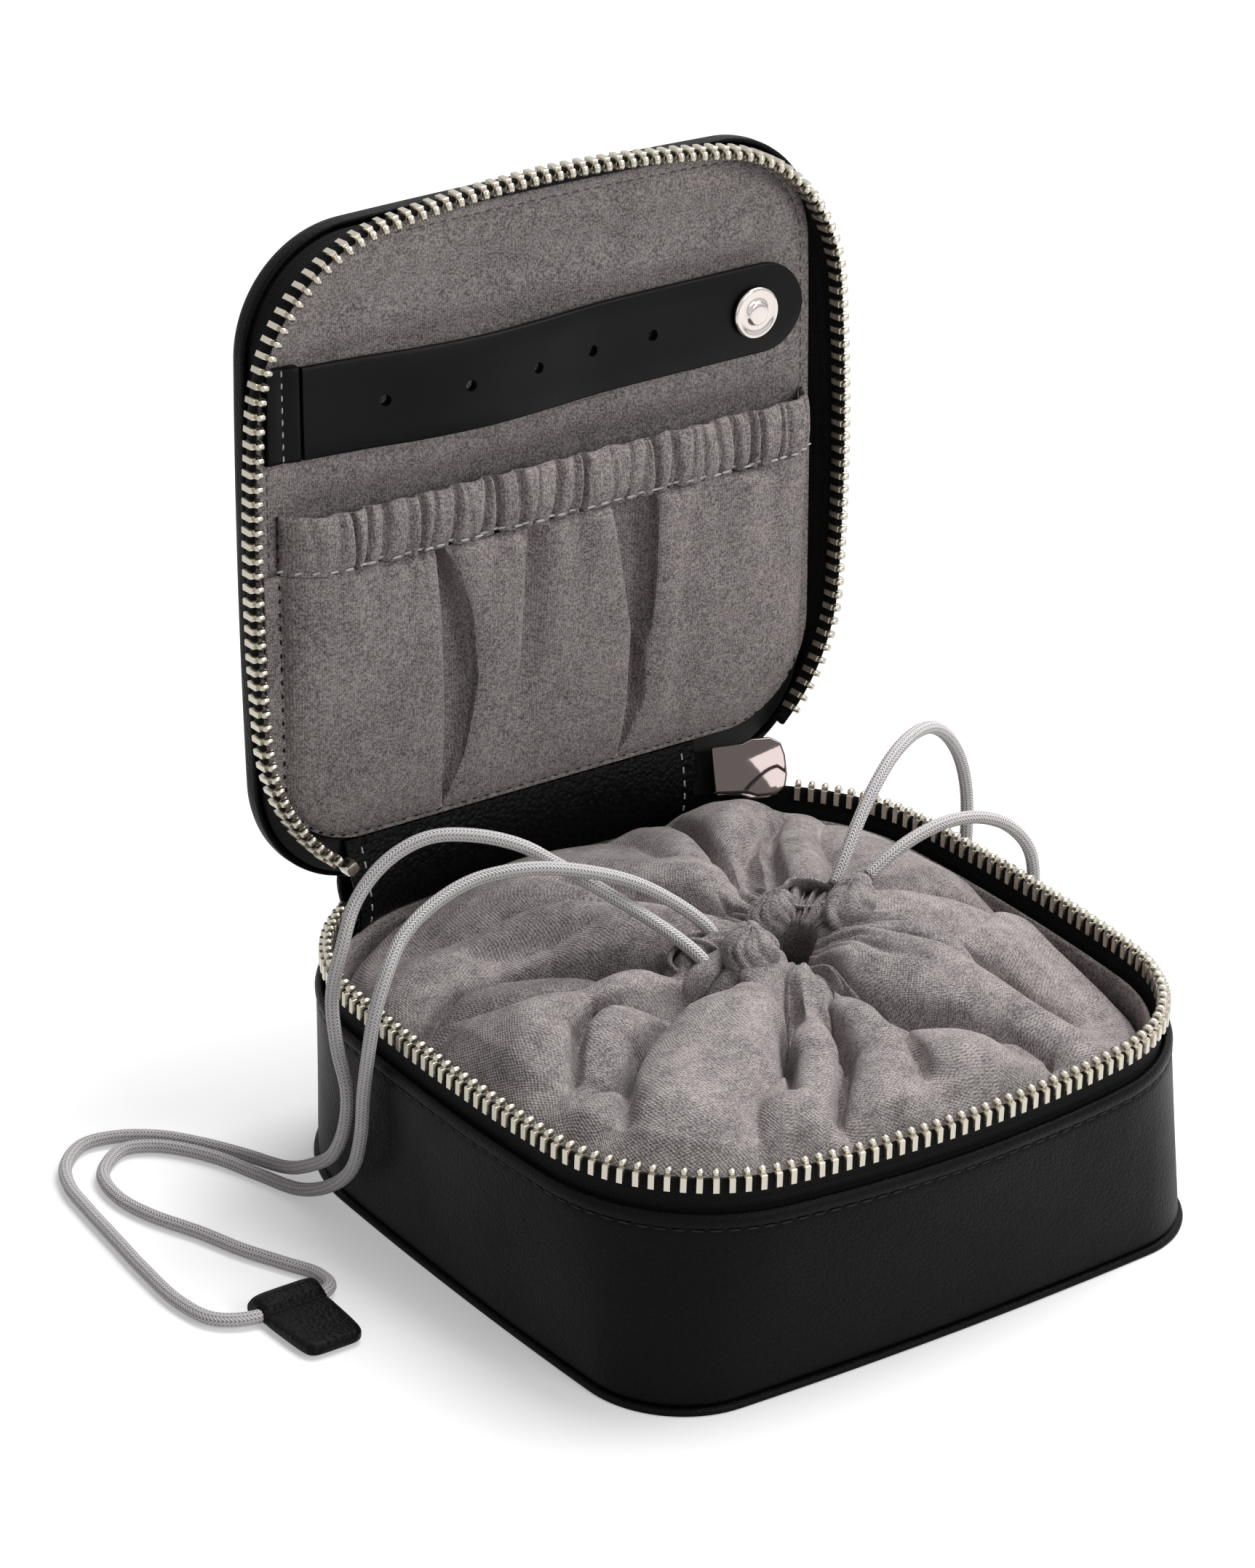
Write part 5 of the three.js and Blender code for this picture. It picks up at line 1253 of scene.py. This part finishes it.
# The casing's tube, as (distance above its foot, stand off its back): its face, turned over at the
# top, and its back
casing_profile = [
    (0.0, 0.1), (0.0, 0.7), (0.35, 1.0), (0.9, 0.72), (1.4, 1.05), (2.4, 1.4), (3.6, 1.5),
    (5.2, 1.55), (6.8, 1.5), (8.4, 1.45), (9.6, 1.3), (10.3, 1.05), (10.7, 0.7), (10.8, 0.3),
    (10.6, 0.0), (9.8, -0.1), (6, -0.1), (2, -0.1),
]
casing_x = np.linspace(pocket_left, pocket_right, 620)
casing_ruffle = 0.3 * casing_swell(casing_x / 9 + 2) - 0.45 * pleats(casing_x, pocket_top, 1.0)
casing_rows = [on_lining(casing_x, casing_foot + up + casing_ruffle * (up / 10.8) ** 3,
                         casing_stand(casing_x, casing_foot + up) + out)
               for up, out in casing_profile]
finish(grid_mesh("casing_cloth", opened(np.array(casing_rows) * mm), round_columns=False,
                 round_rows=True, ends=True, material=lining_suede),
       "lid", "suede", "pocket_casing")
casing_line = on_lining(casing_x, casing_seam, casing_stand(casing_x, casing_seam) + 1.2) * mm
swing(stitches("casing_stitches", casing_line, 3.2 * mm, 0.62, 0.24 * mm, pale_thread,
               "lid", "suede"))

# The pocket's own seam, which runs up its left side, round its foot and up its right side
seam_side = [(rounded_edge(1.0, pocket_foot, pocket_corner, distance) - 1.0, distance)
             for distance in (*np.linspace(pocket_top - 0.5, pocket_foot + 0.4, 120),
                              pocket_foot + 0.1, pocket_foot)]
seam_places = [(pocket_left - inset, distance) for inset, distance in seam_side]
seam_places += [(pocket_right + inset, distance) for inset, distance in seam_side[::-1]]
pocket_seam = on_lining(*np.transpose(seam_places), 0.92) * mm
swing(stitches("pocket_stitches", resampled(pocket_seam, 900), 2.5 * mm, 0.4, 0.24 * mm,
               black_thread, "lid", "suede"))

# Bartacks: a few close stitches that hold the foot of each deep fold
tacks = []
for lip in (first_lip, second_lip):
    side, up = np.transpose([(-0.9, 0.0), (0.9, 0.35), (-0.9, 0.7), (0.9, 1.05), (-0.9, 1.4)])
    bar = on_lining(along(lip, 8.3) + side, pocket_foot + 0.4 + up, 1.3) * mm
    tacks.append(tube("tack", smooth_path(bar, 0.15 * mm), 0.2 * mm, 8, pale_thread))
finish(swing(joined("bartacks", tacks)), "lid", "suede")


# Earring strap: smooth leather with a skived and waxed edge and five punched holes, sewn down at
# the left under a turned tab and snapped at its rounded tip. Sizes in millimetres.
def smooth_leather():
    look = Look("smooth_leather", (0.004, 0.004, 0.0045), 0.4, specular=0.1)
    look.drive("Base Color", look.tint(look.noise(35, 5), 0.3, 0.75, (0.0018, 0.0018, 0.002),
                                       (0.005, 0.005, 0.0055)))
    look.drive("Roughness", look.patches(90, 4, 0.2, 0.34, 0.5))
    pores = look.add("ShaderNodeTexVoronoi", {"Vector": look.place(), "Scale": 2600.0})
    swell = look.bump(look.noise(150, 3), 0.25 * mm, 0.2)
    look.drive("Normal", look.bump(pores.outputs["Distance"], -0.03 * mm, 0.6, swell))
    return look.material


strap_leather = smooth_leather()
strap_left = -51.2
strap_tip = 53.5
strap_y = hinge_y - 87
strap_half = 8.3
strap_thick = 1.6
strap_punches = [(x, 1.05) for x in (-36, -20, -5.5, 7.2, 20.5)]
snap_x = 42.6
# The strap's arch as (x, stand off the lining)
strap_bow = [(strap_left, 1.6), (-40, 2.9), (-28, 5.2), (-16, 6.2), (-4, 5.2), (9, 3.4), (22, 3.0),
             (32, 3.1), (snap_x, 3.1), (strap_tip, 3.1)]
strap_arch = smooth_path([(x, stand, 0) for x, stand in strap_bow], 0.5)
# Its section as (share of its half width, share of its thickness)
strap_section = [
    (-1, 0.35), (-0.99, 0.12), (-0.965, 0.0), (-0.5, 0), (0, 0), (0.5, 0), (0.965, 0.0),
    (0.99, 0.12), (1, 0.35), (1, 0.7), (0.985, 0.9), (0.94, 1.0), (0.5, 1.03), (0, 1.04),
    (-0.5, 1.03), (-0.94, 1.0), (-0.985, 0.9), (-1, 0.7),
]
strap_rows = []
round_from = strap_tip - strap_half
for x in (*np.linspace(strap_left, round_from, 120)[:-1],
          *(round_from + strap_half * np.sin(np.linspace(0, math.pi / 2 * 0.995, 26)))):
    half = math.sqrt(max(0.0, strap_half ** 2 - max(0.0, x - round_from) ** 2))
    z = lining_z - np.interp(x, strap_arch[:, 0], strap_arch[:, 1])
    curl = 0.25 * math.sin(x / 9)
    strap_rows.append([(x, strap_y + half * u, z - strap_thick * v - curl * u * u)
                       for u, v in strap_section])
strap_band = grid_mesh("strap_band", np.array(strap_rows) * mm, caps=True, material=strap_leather)


def turned(x, profile, sides):
    """Rings about an axis at x through the strap's middle, as (radius, z)."""
    angle = turns(sides)
    return np.array([np.stack([x + radius * np.cos(angle), strap_y + radius * np.sin(angle),
                               np.full(sides, z)], axis=1) for radius, z in profile])


punch = joined("punch", [
    grid_mesh("punch", turned(x, [(size, lining_z - 12), (size, lining_z)], 28) * mm, caps=True)
    for x, size in strap_punches + [(snap_x, 1.6)]
])
cutting = strap_band.modifiers.new("holes", "BOOLEAN")
cutting.operation = "DIFFERENCE"
cutting.solver = "EXACT"
cutting.object = punch
applied(strap_band).data.set_sharp_from_angle(angle=math.radians(50))
bpy.data.objects.remove(punch)
finish(swing(strap_band), "strap", "smooth_leather", "earring_strap")

# The strap's sewn end: a folded tab of the same leather with a row of stitches, drawn as
# sections of (x, lowest stand, highest stand)
anchor_half = 8.5
anchor_section = [(-1, 0.2), (-0.98, 0.0), (0, 0), (0.98, 0.0), (1, 0.2), (1, 0.8), (0.98, 0.97),
                  (0.9, 1), (0, 1), (-0.9, 1), (-0.98, 0.97), (-1, 0.8)]
anchor_rows = [[(x, strap_y + anchor_half * u, lining_z - 0.3 - low - (high - low) * v)
                for u, v in anchor_section] for x, low, high in (
    (-57.8, 0.3, 0.9), (-57.6, 0.1, 1.4), (-57.2, 0.05, 1.7), (-55, 0.05, 1.75),
    (-54.6, 0.05, 1.55), (-54.2, 0.05, 1.8), (-52.6, 0.05, 2.5), (-51.9, 0.1, 2.75),
    (-51.6, 0.4, 2.6), (-51.5, 0.9, 2.1))]
finish(grid_mesh("strap_end", opened(np.array(anchor_rows) * mm), caps=True,
                 material=strap_leather), "lid", "smooth_leather", "strap_anchor")
anchor_seam = np.array([(-54.6, strap_y + y, lining_z - 1.95) for y in (-7.6, 7.6)]) * mm
swing(stitches("anchor_stitches", anchor_seam, 2.0 * mm, 0.6, 0.17 * mm, pale_thread,
               "lid", "smooth_leather"))

# Snap fastener: a domed cap on a neck through the strap, a spring socket behind it and a stud
# on the lining, all polished nickel. The cap has a rolled rim, a dished ring and a flat button in
# the middle. Each profile is (radius, height towards the inside).
mirror_nickel = polished_nickel("mirror_nickel", (0.60, 0.55, 0.52), 0.07, 0.01 * mm)
strap_back = lining_z - float(np.interp(snap_x, strap_arch[:, 0], strap_arch[:, 1]))
for name, body, node, z, profile in (
    ("cap", "strap", "snap_cap", strap_back - strap_thick - 0.1, [
        (0.9, -1.9), (1.3, -1.8), (1.3, -0.1), (1.6, 0.2), (4.3, 0.22), (4.65, 0.3), (4.78, 0.5),
        (4.78, 0.72), (4.7, 0.95), (4.5, 1.12), (4.25, 1.2), (4.0, 1.18), (3.7, 1.08),
        (3.3, 0.98), (2.9, 0.95), (2.55, 1.0), (2.3, 1.1), (2.18, 1.22), (2.1, 1.42), (2.0, 1.56),
        (1.8, 1.64), (1.2, 1.68), (0.5, 1.7), (0.05, 1.7)]),
    ("socket", "strap", "snap_socket", strap_back, [
        (1.95, -0.35), (3.5, -0.35), (3.7, -0.45), (3.7, -1.1), (3.5, -1.4), (3.1, -1.6),
        (2.3, -1.65), (1.95, -1.55), (1.9, -1.2)]),
    ("stud", "lid", "snap_stud", lining_z, [
        (0.05, 0.32), (3.4, 0.32), (3.5, 0.5), (3.45, 0.78), (2.6, 0.9), (1.3, 0.98),
        (1.15, 1.2), (1.3, 1.5), (1.5, 1.75), (1.4, 2.05), (1.0, 2.25), (0.05, 2.32)]),
):
    part = turned(snap_x, [(radius, z - height) for radius, height in profile], 64) * mm
    part = grid_mesh(name, opened(part), caps=True, material=mirror_nickel)
    part.data.set_sharp_from_angle(angle=math.radians(60))
    finish(part, body, "nickel", node)

# Spine: two strips of soft leather that join the lid to the base, one outside and one inside,
# stitched near their ends.
spine_leather = pebbled_leather("spine_leather", (0.002, 0.002, 0.0025), (0.006, 0.006, 0.0065),
                                0.9 * mm, 0.3 * mm, 0.38)
spine_left = -43.2
spine_right = 33.2
spine_seam_inset = 3.2
outer_thickness = 1.3
inner_thickness = 1.0
lid_rim = 50.0
outer_bend = {"start": (0, 0.062, 0.037), "end": (0, 0.061, 0.0435)}
inner_bend = {"start": (0, 0.060, 0.038), "end": (0, 0.0585, 0.051)}
rim_middle = wall_ring(-0.75 * mm, rim_height, 2400)
cover_middle = at_height(outline(lid_line, -0.6 * mm, 2400), lid_rim * mm)
inner_lining_middle = wall_ring(-3.9 * mm, rim_height, 2400)


def back_edge(ring, x):
    """The y of a ring's back side at x, both in millimetres."""
    behind = ring[ring[:, 1] > 0] / mm
    order = np.argsort(behind[:, 0])
    return np.interp(x, behind[order, 0], behind[order, 1])


def opened_point(y, z):
    return opened(np.array([0, y, z]) * mm)[1:] / mm


def outer_curve(x):
    foot = np.array([back_edge(rim_middle, x), rim_height / mm + 0.6])
    head = opened_point(back_edge(cover_middle, x), lid_rim) + [1.3, -1.2]
    return foot, foot + [1.4, 4], head + [0.6, -3], head


def inner_curve(x):
    foot = np.array([back_edge(inner_lining_middle, x), 36.9])
    head = opened_point(52.4, 49.6) - [0, 0.45]
    return foot, foot + [-2.3, 4], head + [-2.3, -6], head


def bent_strip(curve, thickness, steps):
    """The middle line of a strip in y and z, and the way from it to one face."""
    start, pull_start, pull_end, end = curve
    t = np.linspace(0, 1, steps)[:, None]
    line = ((1 - t) ** 3 * start + 3 * (1 - t) ** 2 * t * pull_start
            + 3 * (1 - t) * t ** 2 * pull_end + t ** 3 * end)
    run = np.gradient(line, axis=0)
    run /= np.linalg.norm(run, axis=1)[:, None]
    return line, np.stack([run[:, 1], -run[:, 0]], axis=1) * thickness / 2


def spine_piece(piece, bend, *nodes):
    if nodes:
        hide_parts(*nodes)
    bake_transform(piece)


for name, curve, thickness, bend, node in (
    ("outer_spine", outer_curve, outer_thickness, outer_bend, "spine_outer"),
    ("inner_spine", inner_curve, inner_thickness, inner_bend, "spine_inner"),
):
    rows = []
    for x in (spine_left, *np.linspace(spine_left + 0.3, spine_right - 0.3, 150), spine_right):
        slim = 0.55 if x in (spine_left, spine_right) else 1.0
        line, side = bent_strip(curve(x), thickness * slim, 30)
        loop = np.concatenate([line + side, (line - side)[::-1]])
        rows.append(np.column_stack([np.full(len(loop), x), loop]))
    strip = grid_mesh(name, np.array(rows) * mm, caps=True, material=spine_leather)
    spine_piece(strip, bend, node)

spine_threads = []
for x in (spine_left + spine_seam_inset, spine_right - spine_seam_inset):
    line, side = bent_strip(inner_curve(x), inner_thickness, 60)
    face = line - side * 1.08 if side[30, 0] > 0 else line + side * 1.08
    run = resampled(np.column_stack([np.full(60, x), face]) * mm, 60)
    spine_threads += [tube("thread", run[i:i + 5], 0.17 * mm, 8, pale_thread)
                      for i in range(3, 56, 9)]
spine_piece(joined("spine_stitches", spine_threads), inner_bend)

# Zip slider: two polished plates with a wedge between them, parked where the two rows meet, and
# a bail on the outside that carries the pull. A tail of tape fills the space behind it.
# Sizes in millimetres, x along the zip and z across it.
# The outer plate is the same polished nickel painted darker: a painted dark reflection on its face
nickel_painted_dark = polished_nickel("nickel_painted_dark", (0.12, 0.10, 0.096), 0.05, 0.01 * mm)
slider_centre = np.array([42.0, 55.6, 44.1]) * mm
slider_lean = math.radians(15)
slider_turn = math.radians(-22)
house = [(-7.5, -4.4), (-1.6, -4.6), (0.4, -5.4), (3.9, -5.4), (5.9, -4.2), (6.5, -1.8)]
house += [(x, -z) for x, z in house[::-1]]
cheeks = ((-2.1, -1.2), (1.2, 2.1))


def cast_plate(name, corners, depth, bevel, material=mirror_nickel):
    """A prism with softened edges over the corners (x, z), from one depth in y to the other."""
    work = bmesh.new()
    low, high = ([work.verts.new((x, y, z)) for x, z in corners] for y in depth)
    work.faces.new(low)
    work.faces.new(high[::-1])
    for i in range(len(corners)):
        j = (i + 1) % len(corners)
        work.faces.new((low[j], low[i], high[i], high[j]))
    bmesh.ops.scale(work, vec=(mm, mm, mm), verts=work.verts)
    bmesh.ops.recalc_face_normals(work, faces=work.faces)
    mesh = bpy.data.meshes.new(name)
    work.to_mesh(mesh)
    work.free()
    piece = new_object(name, mesh, material)
    edge = piece.modifiers.new("edge", "BEVEL")
    edge.width = bevel * mm
    edge.segments = 3
    edge.limit_method = "ANGLE"
    edge.angle_limit = math.radians(25)
    applied(piece).data.shade_smooth()
    piece.data.set_sharp_from_angle(angle=math.radians(40))
    return piece


def rectangle(width, height, x=0.0, z=0.0):
    return [(x + a * width / 2, z + b * height / 2)
            for a, b in ((-1, -1), (1, -1), (1, 1), (-1, 1))]


slider = joined("slider", [
    cast_plate("plate", house, (-3.2, -1.95), 0.5, nickel_painted_dark),
    cast_plate("plate", [(max(x, -4.6), z) for x, z in house], (1.8, 3.0), 0.35),
    cast_plate("wedge", rectangle(3, 2.8, 4.2), (-2.3, 2.3), 0.3),
    *(cast_plate("flange", rectangle(6.2, 0.7, -3.0, z), depth, 0.15)
      for z in (-4.0, 4.0) for depth in cheeks),
    *(cast_plate("bail", rectangle(1.2, 1.8, x), (2.7, 6.2), 0.3) for x in (-2.7, 2.7)),
    cast_plate("bail", rectangle(6.6, 1.8), (5.0, 6.2), 0.45),
    cast_plate("tape_tail", rectangle(7.4, 8.0, -7.2), (0.4, 1.1), 0.2, black_tape),
])
slider_place = Matrix.Translation(slider_centre) @ Matrix.Rotation(slider_lean, 4, "X")
open_centre = Matrix.Translation(opened(slider_centre, half_open))
slider_parked = open_centre @ Matrix.Rotation(slider_turn, 4, "Z") @ open_centre.inverted()


def park(piece, place):
    """Sets a piece in place on the shut zip, then swings and turns it with the open case."""
    piece.data.transform(place)
    swing(piece, half_open)
    piece.data.transform(slider_parked)
    return piece


finish(park(slider, slider_place), "slider", "nickel", "slider_body")

# Pull: a flat blade with a raised inlay, cast in one with a hook that closes round the bail, and
# hanging out over the rim
blade_length = 22.0
blade_half = 3.3
blade_start = 2.2
blade_middle = blade_start + blade_length / 2
blade = [(blade_half * float(squared(math.cos(a), 0.45)),
          blade_middle + blade_length / 2 * float(squared(math.sin(a), 0.28))) for a in turns(48)]
inlay = [(x * 0.62, blade_start + blade_length * 0.56 + (y - blade_middle) * 0.62)
         for x, y in blade]
pull = joined("pull", [
    cast_plate("blade", blade, (-0.65, 0.65), 0.3),
    cast_plate("inlay", inlay, (-0.85, 0.85), 0.15),
    *(cast_plate("hook", rectangle(3.6, 5.2, 0, 0.8), depth, 0.25) for depth in cheeks),
    cast_plate("hook", rectangle(3.6, 0.9, 0, -1.4), (-2.1, 2.1), 0.25),
    cast_plate("hook", rectangle(3.6, 1.2, 0, 2.0), (-2.1, 2.1), 0.25),
])
pull_droop = Matrix.Rotation(math.radians(8.5), 4, "X")
lay_flat = Matrix(((1, 0, 0), (0, 0, 1), (0, -1, 0))).to_4x4()
on_bail = Matrix.Translation(Vector((0, 5.6, 0)) * mm)
park(pull, slider_place @ on_bail @ pull_droop @ lay_flat)
finish(pull, "pull", "nickel", "zip_pull")


# Floor and light: a white sweep and an even room under a large soft box, with a weaker one from
# the front right
def lit(tree, socket, rest, seen):
    """Drives a strength: one for all light, and one that the camera, gloss and glass see."""
    rays = tree.nodes.new("ShaderNodeLightPath").outputs
    value = rays["Is Camera Ray"]
    for operation, *others in (("MAXIMUM", rays["Is Glossy Ray"]),
                               ("MAXIMUM", rays["Is Transmission Ray"]),
                               ("MULTIPLY_ADD", seen - rest, rest)):
        node = tree.nodes.new("ShaderNodeMath")
        node.operation = operation
        tree.links.new(value, node.inputs[0])
        for place, other in enumerate(others, 1):
            if isinstance(other, bpy.types.NodeSocket):
                tree.links.new(other, node.inputs[place])
            else:
                node.inputs[place].default_value = other
        value = node.outputs[0]
    tree.links.new(value, socket)


sweep = Look("white_sweep", (0.82, 0.82, 0.82), 0.9, specular=0.1)
sweep.set("Emission Color", (1, 1, 1, 1))
lit(sweep.tree, sweep.shader.inputs["Emission Strength"], 0.0, 0.36)
floor_work = bmesh.new()
bmesh.ops.create_circle(floor_work, cap_ends=True, segments=96, radius=4.0)
floor_mesh = bpy.data.meshes.new("floor")
floor_work.to_mesh(floor_mesh)
floor_work.free()
new_object("floor", floor_mesh, sweep.material)

world = bpy.data.worlds.new("studio")
world.use_nodes = True
scene.world = world
surroundings = world.node_tree.nodes["Background"]
surroundings.inputs["Color"].default_value = (1, 1, 1, 1)
lit(world.node_tree, surroundings.inputs["Strength"], 0.13, 1.0)


def soft_box(name, place, aim, size, power):
    data = bpy.data.lights.new(name, "AREA")
    data.shape = "RECTANGLE"
    data.size = data.size_y = size
    data.energy = power
    box = bpy.data.objects.new(name, data)
    turn = (Vector(aim) - Vector(place)).to_track_quat("-Z", "Y").to_matrix().to_4x4()
    box.matrix_world = Matrix.Translation(place) @ turn
    scene.collection.objects.link(box)


soft_box("overhead_box", (0.45, 0.1, 0.95), (0, 0, 0.05), 0.8, 13.8)
soft_box("front_box", (0.22, -1.0, 0.65), (0, 0, 0.08), 0.5, 4.8)
scene.view_settings.view_transform = "Standard"
